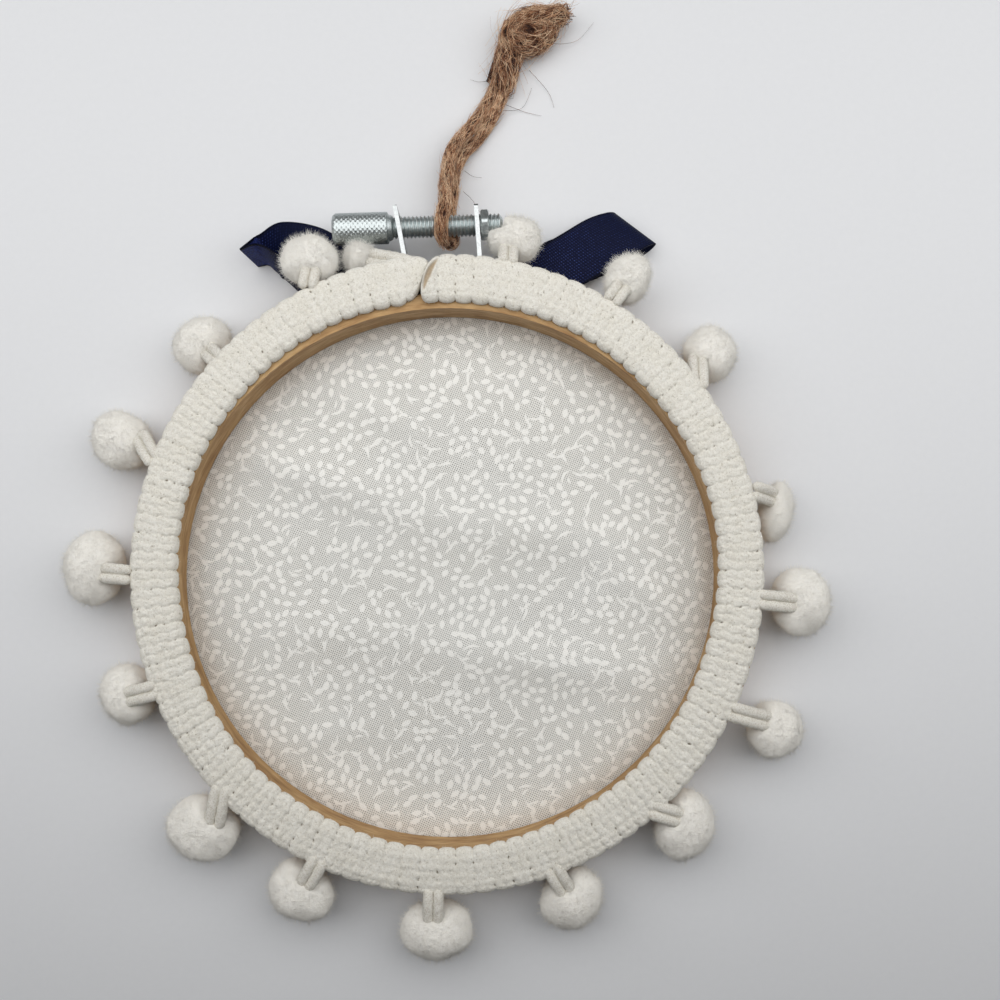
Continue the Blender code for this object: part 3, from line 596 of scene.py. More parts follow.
def bamboo_finish():
    bamboo = Finish("bamboo", rough=0.46, shine=0.4)
    x, y, z = bamboo.split(hoop_place(bamboo))
    flat = bamboo.join(x, y)
    radius = bamboo.vector("LENGTH", flat)
    way = bamboo.split(bamboo.vector("NORMALIZE", flat))
    grains = []
    for along, across, detail in ((5.0, 0.45, 3.0), (14.0, 1.6, 3.0), (26.0, 5.0, 2.0)):
        place = bamboo.join(way[0] * along, way[1] * along, z * across)
        grains.append(bamboo.noise(1.0, detail, 0.55, place, w=radius * across))
    coarse, middling, fine = grains
    tone = coarse * 0.45 + middling * 0.35 + fine * 0.2
    colour = bamboo.shade(tone, (0.3, (122, 84, 48)), (0.44, (168, 128, 80)), (0.56, (196, 158, 106)),
                          (0.7, (222, 188, 136)))
    relief = bamboo.bump(middling * 0.6 + fine * 0.4, 0.25, 0.5)
    return bamboo.finish(colour, relief, bamboo.ease(tone, 0.3, 0.7, 0.6, 0.4))


BAMBOO = bamboo_finish()
for node in ("inner_ring", "outer_ring"):
    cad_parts[node].data.materials[0] = BAMBOO
print("finish", BAMBOO.name, "on both rings")

# %% [markdown]
# ## The printed cotton
#
# The cloth is a thin plain weave, stretched over the inner ring and clamped by the outer one. Its
# fine grid of threads is a pattern in the finish, because a thread is a third of a millimetre, with
# painted shade in the gaps between the threads. The white leaves and sprigs are printed ink, and
# they must have crisp edges. So for each point of the cloth the distance to the nearest print's edge
# is worked out and stored, and the finish only has to say which side of the edge it is on. The
# sprigs are laid out by a seeded random scatter. Near the ring the cloth gets a painted brown shade,
# for the ring's shadow and the colour that bamboo and braid throw on it as bounced light; that is
# stored too.

# %% The layout of the print
PRINT_REACH = 49.5
PRINT_WINDOW = 3.2  # no leaf or sprig reaches further than this from its middle
LEAF_LONG, LEAF_WIDE, LEAF_POINTED = 0.92, 0.54, 1.55
LEAF_SPACE, SPRIG_SPACE = 1.44, 1.44 * 1.55
PRINT_TRIES = 16000
SPRIG_SHARE = 0.4
STEM_WIDE, SHOOT_WIDE, TAPER = 0.62, 0.58, 0.34


def heading(angle):
    return np.array([math.cos(angle), math.sin(angle)])


def along_and_across(x, y, angle):
    """Distances along a direction and across it."""
    return x * math.cos(angle) + y * math.sin(angle), y * math.cos(angle) - x * math.sin(angle)


def leaf_depth(points, middle, angle, long):
    """How far points lie inside a pointed leaf, in millimetres; less than zero is outside."""
    along, across = along_and_across(*(points - middle).T, angle)
    reach = np.abs(along / long) ** LEAF_POINTED + np.abs(across / LEAF_WIDE) ** LEAF_POINTED
    return (1 - reach ** (1 / LEAF_POINTED)) * LEAF_WIDE


def stroke_depth(points, line, widths):
    """How far points lie inside a stroke drawn with a pen of changing width."""
    apart = np.linalg.norm(points[:, None] - line[None], axis=-1)
    return (widths / 2 - apart).max(axis=1)


def sprig_depth(points, middle, angle, rng):
    """The same for a curved stem that tapers, with one or two tapering side shoots."""
    depth = np.full(len(points), -1.0)
    shoots = [(middle, angle, rng.uniform(3.0, 3.9), rng.uniform(-1.0, 1.0), STEM_WIDE)]
    for place, side in ((-0.36, 1), (0.48, -1))[: rng.integers(1, 3)]:
        lean = angle + side * rng.uniform(0.6, 1.1)
        long = rng.uniform(1.5, 2.1)
        root = middle + heading(angle) * place
        shoots.append((root + heading(lean) * long / 2, lean, long, side * 0.5, SHOOT_WIDE))
    t = np.linspace(-0.5, 0.5, 15)
    for centre, way, long, bend, wide in shoots:
        turn = way + bend * t * 2
        steps = np.stack([np.cos(turn), np.sin(turn)], -1) * long / len(t)
        line = centre + np.cumsum(steps, axis=0) - steps.sum(axis=0) / 2
        depth = np.maximum(depth, stroke_depth(points, line, wide - TAPER * np.abs(t) * 2))
    return depth


def scatter_print(rng):
    """Places for the leaves and sprigs, no two of them too close."""
    placed = np.zeros((0, 4))
    for _ in range(PRINT_TRIES):
        radius, turn = PRINT_REACH * math.sqrt(rng.random()), 2 * math.pi * rng.random()
        middle = heading(turn) * radius
        sprig = rng.random() < SPRIG_SHARE
        space = SPRIG_SPACE if sprig else LEAF_SPACE
        apart = ((placed[:, :2] - middle) ** 2).sum(axis=1)
        if (apart > np.maximum(placed[:, 2], space) ** 2).all():
            placed = np.concatenate([placed, [(*middle, space, sprig)]])
    return placed


def print_depth(points):
    """Signed depth of the print at each point of the flat cloth."""
    rng = np.random.default_rng(21)
    depth = np.full(len(points), -1.0)
    placed = scatter_print(rng)
    for x, y, _, sprig in placed:
        angle = rng.uniform(0, 2 * math.pi)
        near = np.flatnonzero((np.abs(points - (x, y)) < PRINT_WINDOW).all(axis=1))
        if sprig:
            drawn = sprig_depth(points[near], (x, y), angle, rng)
        else:
            drawn = leaf_depth(points[near], (x, y), angle, LEAF_LONG * rng.uniform(0.85, 1.15))
        depth[near] = np.maximum(depth[near], drawn)
    print(len(placed), "leaves and sprigs")
    return depth


# %% The cotton's shape
FOLDS = (  # x, y, direction in degrees, half length, half width, height
    (-24.0, 17.5, -19, 19, 4.2, 1.2), (15.0, 7.5, -8, 20, 5.0, 1.1), (36.0, -4.0, -38, 9, 3.0, 0.7),
    (-21.0, -10.5, -3, 14, 5.0, 0.8), (18.0, -16.0, -7, 20, 4.5, 1.2), (-13.0, 29.0, -28, 8, 2.6, 0.5),
    (-23.0, -29.0, 10, 8, 3.0, 0.4),
)
FLAT_RIM, FOLD_FADE = 46.6, 6.0
CLOTH_FLOOR, CLOTH_TOP, CLOTH_EDGE = 1.15, 8.4, 50.8
CLOTH_GRID = 275
CLOTH_WALL_ROWS = 5


def fold_height(x, y):
    height = np.zeros_like(x)
    for fold_x, fold_y, degrees, long, wide, high in FOLDS:
        along, aside = along_and_across(x - fold_x, y - fold_y, math.radians(degrees))
        height += high * bell(along, long) * bell(aside, wide)
    return height * smooth_step((FLAT_RIM - np.hypot(x, y)) / FOLD_FADE)


def cloth_points():
    """A square grid pressed into a disc, then the wall that stands between the rings."""
    a, b = np.meshgrid(*[np.linspace(-1, 1, CLOTH_GRID)] * 2)
    flat = np.stack([a * np.sqrt(1 - b * b / 2), b * np.sqrt(1 - a * a / 2)], -1).reshape(-1, 2) * CLOTH_EDGE
    x, y = (flat * (1 + HOOP_OVAL, 1 - HOOP_OVAL)).T
    last = CLOTH_GRID - 1
    index = np.arange(CLOTH_GRID**2).reshape(CLOTH_GRID, CLOTH_GRID)
    rim = np.concatenate([index[0, :last], index[:last, last], index[last, last:0:-1], index[last:0:-1, 0]])
    heights = np.linspace(CLOTH_FLOOR, CLOTH_TOP, CLOTH_WALL_ROWS + 1)[1:, None]
    points = [xyz(x, y, CLOTH_FLOOR + fold_height(x, y)), xyz(x[rim], y[rim], heights).reshape(-1, 3)]
    first = len(flat) + np.arange(len(rim))
    seam = np.stack([rim, np.roll(rim, -1), np.roll(first, -1), first], -1)
    wall = grid_faces(CLOTH_WALL_ROWS, len(rim), start=len(flat))
    return flat, np.concatenate(points), [grid_faces(CLOTH_GRID, CLOTH_GRID, False), seam, wall]


# %% The cotton's finish
WEAVE_PITCH, WEAVE_ANGLE = 0.36, math.radians(22)
WALL_MARK = -9.0  # the wall's points carry this in place of their depth in the print
SHADE_WIDE, SHADE_WAY = 6.5, math.radians(30)


def cotton_finish():
    cotton = Finish("printed_cotton", rough=0.85, shine=0.2, sheen=0.1)
    drift = cotton.vector("SUBTRACT", cotton.noise(0.35, out="Color"), (0.5, 0.5, 0.5))
    drift = cotton.vector("SCALE", drift, scale=0.35)
    x, y, height = cotton.split(cotton.vector("ADD", cotton.turned(cotton.place, WEAVE_ANGLE), drift))
    on_wall = cotton.ease(cotton.value("print"), WALL_MARK + 1, WALL_MARK + 2, 1.0, 0.0)
    y = y - height * on_wall  # the threads go on up the wall
    warp, weft = (cotton.math("SINE", part * (2 * math.pi / WEAVE_PITCH)) for part in (x, y))
    uneven = cotton.noise(2.2, 3.0)
    # painted shade: the gaps between threads are darkened, on the ground and on the ink
    gaps = cotton.ease(warp, -0.45, 0.7) * cotton.ease(weft, -0.45, 0.7)
    gaps = gaps * cotton.ease(uneven, 0.25, 0.6, 0.55, 1.0)
    ink = cotton.ease(cotton.value("print") + (uneven - 0.5) * 0.16, -0.04, 0.09)
    ground = cotton.mix(gaps, cotton.mix(cotton.noise(0.06), (238, 236, 229), (244, 244, 240)), (88, 86, 80))
    inked = cotton.mix(gaps * 0.3, (254, 253, 248), (200, 197, 188))
    # painted shade: near the ring the cloth turns brown, for the ring's shadow and the light that bamboo and
    # braid bounce on it
    shaded = cotton.value("rim") * cotton.ease(uneven, 0.3, 0.7, 0.75, 1.1)
    colour = cotton.mix(shaded, cotton.mix(ink, ground, inked), (156, 120, 74))
    return cotton.finish(colour, cotton.bump(warp * weft * 0.3 + gaps * -0.6, 0.1, 0.5))


def rim_shade(flat):
    """How much painted shade, browned by light bounced off the ring, each point of the cloth gets: it is
    darkest by the ring at the upper right.
    """
    darkest = np.cos(np.arctan2(flat[:, 1], flat[:, 0]) - SHADE_WAY)
    from_rim = np.clip(1 - (CLOTH_EDGE - 0.6 - np.hypot(*flat.T)) / SHADE_WIDE, 0, 1)
    return from_rim * (0.4 + 0.3 * smooth_step((darkest - 0.65) / 0.3))


def make_cotton():
    flat, points, faces = cloth_points()
    wall = (0, len(points) - len(flat))
    # rim holds how much painted shade each point gets
    values = {"print": np.pad(print_depth(flat), wall, constant_values=WALL_MARK),
              "rim": np.pad(rim_shade(flat), wall)}
    cotton = add_mesh("printed_cotton", "cloth", on_table(points), faces, cotton_finish(), "cotton_print",
                      values=values)


make_cotton()

# %% [markdown]
# ## Fibres that stand off
#
# Wool and cotton yarn look soft because of the short fibres that stand off them. Each is a thin
# pointed cone with its root in the surface. They are scattered evenly by the surface's area, and
# borrow its direction for their shading, so that a pile of them looks soft and not like straw.

# %% Fibre helpers
SKY = np.array([0.0, 0.0, 1.0])  # light reaches deep into a pile from above, so its shading leans up


def facing(points, faces):
    """The direction that each quad faces, twice as long as its area."""
    a, b, c, d = (points[faces[:, k]] for k in range(4))
    return np.cross(c - a, d - b)


def point_normals(points, faces):
    """Outward direction at each point of a closed mesh of quads."""
    normals = np.zeros_like(points)
    for k in range(4):
        np.add.at(normals, faces[:, k], facing(points, faces))
    return unit(normals)


def scatter(points, faces, normals, count, rng):
    """Random places spread evenly over a mesh of quads, with the direction there."""
    area = np.linalg.norm(facing(points, faces), axis=1)
    pick = faces[rng.choice(len(faces), count, p=area / area.sum())]
    s, t = rng.random((2, count, 1))
    shares = ((1 - s) * (1 - t), s * (1 - t), s * t, (1 - s) * t)
    places, ways = (sum(of[pick[:, k]] * share for k, share in enumerate(shares)) for of in (points, normals))
    return places, unit(ways)


def cones(places, ways, lengths, width, rng, spread):
    """One thin pointed fibre for each place: three points round its root and one at its tip."""
    lean = unit(ways + rng.normal(0, spread, places.shape))
    aside = unit(np.cross(lean, rng.normal(0, 1, places.shape)))
    other = np.cross(lean, aside)
    corners = [places + between(aside, other, angle) * width / 2 for angle in (0, 2.094, 4.189)]
    points = np.stack([*corners, places + lean * lengths[:, None]], 1).reshape(-1, 3)
    faces = np.arange(len(places))[:, None, None] * 4 + np.array([(0, 1, 3), (1, 2, 3), (2, 0, 3)])
    return points, faces.reshape(-1, 3), np.repeat(unit(ways + lean * 0.2 + SKY), 4, axis=0)


def fringe(points, ways, roots, longest, rng):
    """Short stray fibres at some of the points of a mesh."""
    return cones(points[roots], ways[roots], rng.uniform(0.2, longest, len(roots)), 0.07, rng, 0.9)[:2]


# %% [markdown]
# ## The scalloped braid
#
# The trim is a crocheted braid: rows of tight little stitches, two ribs to each scallop, crossed by
# six rows, with a small hole where ribs and rows meet. A flat strip with a bump pattern would look
# painted, because the stitches stand proud and shade each other. So the strip is a fine grid of
# points, and each is raised or sunk by where it lies in its own stitch.

# %% The braid's shape
BRAID_INSIDE, BRAID_OUTSIDE = 46.75, 55.05
BRAID_OFF_CENTRE = (-0.1, 1.0, 0.0)
BRAID_OVAL = -0.004
BRAID_BOTTOM, BRAID_THICKNESS = 9.3, 1.5
BRAID_START, BRAID_END = -264.85, 95.5
START_SLANT, END_SLANT = 1.7, 1.0
END_REACH, END_DEPTH = 4.8, 5.6  # the lifted end's outer corner is cut this far along and across
SCALLOPS, SCALLOP_DEPTH = 102, 0.55
WAVER = 0.22
CURL, CURL_RISE = 5.0, 1.3
RIBS, STITCH_ROWS = 2 * SCALLOPS, 6
RIB_STEPS, ACROSS_STEPS = 8, 40
RIB_WIDE, ROW_WIDE = 1.57, 1.38
STITCH_DEPTH, GROOVE_DEPTH, HOLE_DEPTH, END_GROOVE_DEPTH = 0.165, 0.05, 0.22, 0.6
GROOVE_WIDE, HOLE_WIDE = 0.2, 0.32
EDGE_FUZZ = 2600


def corner_cut(near, reach, depth):
    """How far an edge is drawn in near an end, as a quarter of an ellipse."""
    left = 1 - np.minimum(1, near / reach)
    return (1 - np.sqrt(1 - left**2)) * depth


def braid_place(radius, degrees, height):
    """Points of the level hoop at a radius, an angle and a height above the braid's underside."""
    angle = np.radians(degrees)
    x, y = radius * (1 + BRAID_OVAL) * np.cos(angle), radius * (1 - BRAID_OVAL) * np.sin(angle)
    return xyz(x, y, BRAID_BOTTOM + height) + BRAID_OFF_CENTRE


def beside(value):
    """Distance to the nearest whole number."""
    return np.abs((value + 0.5) % 1 - 0.5)


def braid_stitches(rib, row):
    """How much the stitches sink and raise the surface, and how deep each point lies in a hole."""
    chance = np.random.default_rng(31)
    stitch_high = chance.normal(0, 0.05, (RIBS + 2, STITCH_ROWS + 3))
    hole_wide = chance.uniform(0.15, 1.0, stitch_high.shape)
    in_stitch = tuple(np.clip(np.floor(at).astype(int) + 1, 0, size - 1)
                      for at, size in zip((rib, row), stitch_high.shape))
    crossing = tuple(np.clip(np.round(at).astype(int), 0, last)
                     for at, last in ((rib, RIBS), (row, STITCH_ROWS)))
    deep = np.where(crossing[0] % 2 == 0, 1.0, 0.5)
    pillow = np.sqrt(np.abs(np.sin(np.pi * rib) * np.sin(np.pi * row)))
    rib_side = bell(beside(rib) * RIB_WIDE, GROOVE_WIDE)
    groove = GROOVE_DEPTH * deep * rib_side + STITCH_DEPTH * (1 - pillow)
    hole = deep * hole_wide[crossing] * rib_side * bell(beside(row) * ROW_WIDE, HOLE_WIDE)
    loops = 0.035 * np.sin(2 * np.pi * (rib * 2 + row)) + 0.035 * np.sin(2 * np.pi * (rib - row * 2.5))
    loops = loops + chance.normal(0, 0.045, loops.shape) + stitch_high[in_stitch] * pillow
    return groove + HOLE_DEPTH * hole - loops, hole


def end_edge(from_end, radius):
    """Distance from the lifted end's cut edge, and how deep the groove along it is, from 0 to 1; the finish
    paints shade in that groove.
    """
    u = np.clip(1 - from_end / END_REACH, 0, 1)
    v = np.clip((radius - BRAID_OUTSIDE + END_DEPTH) / END_DEPTH, -0.4, 1.2)
    beside_end = (1 - np.hypot(u, np.maximum(v, 0))) * (END_REACH + END_DEPTH) / 2
    from_edge = np.where(from_end < END_REACH, beside_end, 9)
    taper = np.sin(np.pi * np.clip((np.degrees(np.arctan2(v, u)) + 18) / 90, 0, 1)) ** 0.7
    end_groove = smooth_step((from_edge - 0.65) / 0.3) * smooth_step((0.65 + 1.45 * taper - from_edge) / 0.5)
    return from_edge, end_groove


def braid_shape():
    """Grid of points of the braid, with how deep each lies in a hole and in the groove by the lifted end."""
    share = np.linspace(0, 1, RIBS * RIB_STEPS + 1)[:, None]
    degrees = BRAID_START + (BRAID_END - BRAID_START) * share
    arc = math.radians(BRAID_END - BRAID_START) * (BRAID_INSIDE + BRAID_OUTSIDE) / 2
    from_start, from_end = 0.3 + arc * share, 0.3 + arc * (1 - share)
    notch = SCALLOP_DEPTH * (1 - np.sqrt(np.maximum(0, 1 - (2 * ((share * SCALLOPS) % 1) - 1) ** 2)))
    waver = WAVER * (np.sin(np.radians(3 * degrees + 40)) + 0.6 * np.sin(np.radians(7 * degrees)))
    inside = BRAID_INSIDE + notch + waver + corner_cut(from_start, 5.0, 5.4) + corner_cut(from_end, 1.3, 1.3)
    outside = BRAID_OUTSIDE - 0.7 * notch - corner_cut(from_start, 3.2, 2.2)
    outside = outside - corner_cut(from_end, END_REACH, END_DEPTH)
    over = (0.5 - 0.5 * np.cos(np.linspace(0, np.pi, ACROSS_STEPS)))[None, :]
    radius = inside + (outside - inside) * over
    row = (radius - BRAID_INSIDE) / (BRAID_OUTSIDE - BRAID_INSIDE) * STITCH_ROWS
    sunk, hole = braid_stitches(share * RIBS + 0.12 * np.sin(np.pi * row), row)
    from_edge, end_groove = end_edge(from_end, radius)
    rim = np.abs(2 * over - 1)
    flat = (1 - rim**8) * smooth_step((from_edge - 0.8) / 0.8)
    height = BRAID_THICKNESS * (1 - rim**5) ** 0.5 - sunk * flat - END_GROOVE_DEPTH * end_groove
    curl = smooth_step(1 - from_end / CURL) * CURL_RISE * (0.3 + 0.9 * over)
    trimmed = degrees - END_SLANT * over**2 * smooth_step((degrees - BRAID_END + 7) / 7)
    trimmed = trimmed - START_SLANT * over * smooth_step((BRAID_START + 6 - degrees) / 6)
    top = braid_place(radius, trimmed, height + curl)
    under = braid_place(*(part[:, [-1, 0]] for part in (radius, trimmed, curl)))
    pads = ((0, 0), (0, 2))
    return np.concatenate([top, under], axis=1), np.pad(hole * flat, pads), np.pad(end_groove, pads)


# %% The braid
def braid_finish():
    yarn = Finish("braid_yarn", rough=0.9, shine=0.15, sheen=0.25)
    fuzz, specks = yarn.noise(3.2, 3.0, 0.75), yarn.noise(1.9, 3.0, 0.8)
    colour = yarn.mix(yarn.noise(0.3), (240, 236, 224), (249, 247, 240))
    colour = yarn.mix(yarn.ease(fuzz, 0.35, 0.6, 0.5, 0.0), colour, (208, 200, 184))
    colour = yarn.mix(yarn.ease(specks, 0.3, 0.42, 0.6, 0.0), colour, (150, 138, 116))
    # painted shade: the holes where ribs and rows meet are darkened
    hole = yarn.ease(yarn.value("hole"), 0.2, 0.75) * yarn.ease(yarn.noise(0.9, 1.0), 0.4, 0.62, 0.2, 1.0)
    colour = yarn.mix(hole, colour, (104, 92, 72))
    # painted shade: the groove beside the lifted end is tinted tan
    colour = yarn.mix(yarn.value("end_groove") * yarn.ease(fuzz, 0.3, 0.6, 0.7, 1.0), colour, (190, 170, 142))
    return yarn.finish(colour, yarn.bump(fuzz * 0.6 + specks * 0.6, 0.28, 0.8))


def make_braid():
    points, hole, end_groove = braid_shape()
    rows, columns, _ = points.shape
    points = on_table(points.reshape(-1, 3))
    faces = tube_faces(rows, columns)
    rng = np.random.default_rng(32)
    edges = np.concatenate([np.arange(6), np.arange(columns - 10, columns)])
    roots = rng.integers(0, rows, EDGE_FUZZ) * columns + rng.choice(edges, EDGE_FUZZ)
    fuzz, fuzz_faces = fringe(points, point_normals(points, faces[0]), roots, 0.6, rng)
    values = {"hole": np.pad(hole.ravel(), (0, len(fuzz))), "end_groove": np.pad(end_groove.ravel(), (0, len(fuzz)))}
    add_mesh("scalloped_braid", "braid", np.concatenate([points, fuzz]), [*faces, fuzz_faces + len(points)],
             braid_finish(), "trim_yarn", values=values)


make_braid()

# %% [markdown]
# ## Pompoms
#
# A pompom is a ball of cut yarn with a soft short pile, pinched in the middle by the loop that ties
# it to the braid. A smooth ball can't look like it. Each one is a lumpy core with a dent for its
# tie, and thousands of thin pointed blades planted all over it, most of them where they are seen.

# %% The pompoms' places
POMPOMS = (  # name, place x, y, half sizes across its tie, along it and up, lowest point, tie's tip and root
    ("01", -24.8, 55.5, 5.3, 5.0, 4.7, 4.5, -24.0, 53.1, -24.5, 49.6),
    ("02", -16.3, 56.8, 3.1, 2.9, 3.3, 4.1, -13.9, 56.3, -6.4, 53.7),
    ("03", 11.6, 59.9, 5.1, 4.4, 4.2, 3.7, 10.5, 57.4, 10.4, 54.1),
    ("04", 31.6, 52.4, 4.1, 5.1, 4.8, 3.9, 30.4, 50.4, 28.2, 47.3),
    ("05", 46.8, 39.6, 4.9, 5.4, 5.2, 0.0, 44.0, 38.0, 43.4, 32.4),
    ("06", 58.2, 11.1, 5.7, 3.15, 5.0, 0.0, 56.9, 13.7, 52.7, 14.6),
    ("07", 62.2, -4.7, 6.2, 5.6, 5.7, 0.0, 59.7, -4.8, 53.3, -4.1),
    ("08", 57.4, -27.2, 5.2, 5.0, 5.4, 0.0, 54.7, -25.1, 48.2, -23.2),
    ("09", 41.1, -43.5, 6.2, 5.4, 5.8, 0.0, 39.4, -41.3, 34.4, -39.7),
    ("10", 21.6, -56.1, 5.9, 5.2, 5.6, 0.0, 20.1, -53.5, 17.7, -49.4),
    ("11", -1.9, -61.4, 6.5, 5.3, 5.8, 0.0, -2.4, -58.0, -2.3, -53.2),
    ("12", -25.6, -54.8, 6.2, 5.1, 5.8, 0.0, -24.0, -52.2, -21.5, -47.9),
    ("13", -42.8, -44.0, 6.5, 5.8, 5.8, 0.0, -39.8, -42.0, -38.5, -35.8),
    ("14", -56.5, -21.0, 5.6, 4.7, 5.6, 0.0, -55.2, -21.0, -49.5, -19.5),
    ("15", -62.8, 1.2, 6.7, 5.6, 5.8, 0.0, -59.7, 0.4, -54.5, 0.0),
    ("16", -58.8, 24.0, 5.2, 5.8, 5.2, 0.0, -54.1, 23.8, -50.6, 19.6),
    ("17", -44.6, 41.3, 5.7, 5.0, 5.2, 0.0, -42.7, 39.6, -39.1, 36.6),
)
TIE_RADIUS, TIE_HALF_SPAN = 0.92, 0.87
TIE_BELOW_TOP, TIE_ROOT_HEIGHT = 1.9, 10.1


def pompom_frame(row):
    """Middle of a pompom, the directions away from and across its tie, and the tie's root and tip."""
    _, x, y, _, _, tall, base, tip_x, tip_y, root_x, root_y = row
    middle = np.array([x, y, base + tall])
    tip = np.array([tip_x, tip_y, base + 2 * tall - TIE_BELOW_TOP])
    root = np.array([root_x, root_y, TIE_ROOT_HEIGHT + (root_y + LEAN_REACH) * math.sin(LEAN)])
    outwards = unit((tip - root) * (1, 1, 0))
    return middle, outwards, np.array([-outwards[1], outwards[0], 0.0]), root, tip


# %% The pompoms' cores
CORE_STEPS, CORE_RINGS, CORE_SHRINK = 44, 26, 0.3
PINCH, PINCH_WIDE = 0.27, 0.34
LID_SLOPE = 2.6  # how steeply the pile may rise beside its tie
SCREW_TURN = math.radians(1.78)
HEAD_LEFT, HEAD_RIGHT, HEAD_RADIUS = -20.9, -11.2, 2.85
SHOULDER_RIGHT, SCREW_TIP = -10.2, 9.5


def screw_line():
    """A point of the screw's axis and its direction."""
    start = np.array([0, SCREW_Y, SCREW_Z])
    ends = on_table([start, start + (math.cos(SCREW_TURN), math.sin(SCREW_TURN), 0)]) - BENCH
    return ends[0], ends[1] - ends[0]


def clear_of_screw(points, spare):
    """Pushes points out of the space that the screw and its head need to turn."""
    start, direction = screw_line()
    along = (points - start) @ direction
    away = points - start - along[:, None] * direction
    length = np.maximum(np.linalg.norm(away, axis=1), 1e-6)
    free = np.where(along < SHOULDER_RIGHT, HEAD_RADIUS, THREAD_RADIUS) + spare
    near = (along < SCREW_TIP + 0.3) & (along > HEAD_LEFT - 0.3)
    push = np.where(near, np.maximum(free / length, 1.0), 1.0)[:, None]
    points = points + away * (push - 1)
    below = start[1] + along * direction[1] - 0.8 * free
    points[:, 1] = np.where(near, np.minimum(points[:, 1], below), points[:, 1])
    return points


def core_points(row):
    """A ball with two lobes, pinched between them where its tie goes in."""
    _, x, _, wide, deep, tall, base = row[:7]
    middle, outwards, across, _, tip = pompom_frame(row)
    polar, turn = np.linspace(0, np.pi, CORE_RINGS)[:, None], circle(CORE_STEPS)
    ball = xyz(np.sin(polar) * np.cos(turn), np.sin(polar) * np.sin(turn), np.cos(polar)).reshape(-1, 3)
    coarse, fine = (np.array([noise.noise(Vector(way * scale) + Vector((x, shift, 7))) for way in ball])
                    for scale, shift in ((1.6, 3), (6.5, 30)))
    pinch = bell(ball[:, 1] - (tip - middle) @ across / wide, PINCH_WIDE) * smooth_step(ball[:, 2] + 0.8)
    pinch = pinch * smooth_step(((tip - middle) @ outwards / deep + 0.3 - ball[:, 0]) / 0.6)
    swell = (1 + 0.09 * coarse + 0.02 * fine) * (1 - PINCH * pinch)
    size = ball * (np.array([deep, wide, tall]) - CORE_SHRINK) * swell[:, None]
    points = middle + size @ np.array([outwards, across, (0, 0, 1)])
    beside_tie = np.abs((points - tip) @ across) - TIE_HALF_SPAN - TIE_RADIUS * 0.8
    beyond_tie = (points - tip) @ outwards + 0.1
    lid = tip[2] - 0.3 + np.maximum(np.maximum(beside_tie, beyond_tie), 0) * LID_SLOPE
    points[:, 2] = np.where(points[:, 2] > lid, lid * 0.85 + points[:, 2] * 0.15, points[:, 2])
    points = clear_of_screw(points, 0.15)
    points[:, 2] = np.maximum(points[:, 2], base + 0.15)
    return points


# %% The pompoms
def pompom_finish():
    yarn = Finish("pompom_yarn", rough=0.95, shine=0.1, sheen=0.3)
    fibres = yarn.noise(3.6, 3.0, 0.7)
    colour = yarn.mix(yarn.noise(1.1), (254, 250, 240), (255, 253, 247))
    colour = yarn.mix(yarn.ease(fibres, 0.4, 0.7, 0.0, 0.12), colour, (222, 213, 197))
    # painted shade: the root value darkens the fibres chosen for it in make_pompom
    colour = yarn.mix(yarn.value("root"), colour, (198, 188, 168))
    return yarn.finish(colour, yarn.bump(fibres, 0.3, 0.6))


POMPOM_YARN = pompom_finish()
PILE_COUNT, PILE_THIN, PILE_THICK = 4000, 0.02, 0.08


def make_pompom(row, seed):
    number, base, tip = row[0], row[6], pompom_frame(row)[-1]
    rng = np.random.default_rng(seed)
    core = beside_hoop(core_points(row))
    faces = grid_faces(CORE_RINGS, CORE_STEPS)
    normals = point_normals(core, faces)
    if ((core - core.mean(axis=0)) * normals).sum() < 0:
        faces, normals = faces[:, ::-1], -normals
    places, ways = scatter(core, faces, normals, 2 * PILE_COUNT, rng)
    seen_more = np.clip(0.62 + 0.55 * ways[:, 2], 0.12, 1.0) * rng.random(2 * PILE_COUNT)
    chosen = np.sort(np.argsort(-seen_more)[:PILE_COUNT])
    places, ways = places[chosen], ways[chosen]
    near_tie = smooth_step(1.6 - np.linalg.norm((places - beside_hoop(tip))[:, :2], axis=1) / 2.2)
    lengths = (0.5 + 1.1 * rng.random(PILE_COUNT) ** 1.5) * (1 + 0.15 * near_tie)
    widths = rng.uniform(PILE_THIN, PILE_THICK, (PILE_COUNT, 1))
    pile, pile_faces, pile_normals = cones(places - ways * 0.1, ways, lengths, widths, rng, 0.8)
    pile = beside_hoop(clear_of_screw(pile - BENCH, 0.05))
    pile[:, 2] = np.maximum(pile[:, 2], base + 0.02)
    # painted shade: a few fibres are darker, more at the root than at the tip, for the pile's self-shadow
    painted_pile_shade = rng.random((PILE_COUNT, 1)) ** 3 * (0.3, 0.3, 0.3, 0.15)
    pompom = add_mesh(
        "fluffy_pompom_" + number, "pompom_" + number, np.concatenate([core, pile]),
        [faces, pile_faces + len(core)], POMPOM_YARN, "pompom_yarn",
        values={"root": np.pad(painted_pile_shade.ravel(), (len(core), 0))},
        normals=np.concatenate([unit(normals * 1.6 + SKY), pile_normals]),
    )


for seed, row in enumerate(POMPOMS, 40):
    make_pompom(row, seed)

# %% [markdown]
# ## The ties
#
# Each pompom hangs on a loop of the braid's own yarn: out over the pompom, round, and back. From
# above the two legs look like two fingers side by side. A tube along a hairpin does it, with its
# two plies showing as a shallow spiral groove.

# %% The ties
TIE_SIDES, TIE_STEP, TIE_FUZZ = 14, 0.22, 220


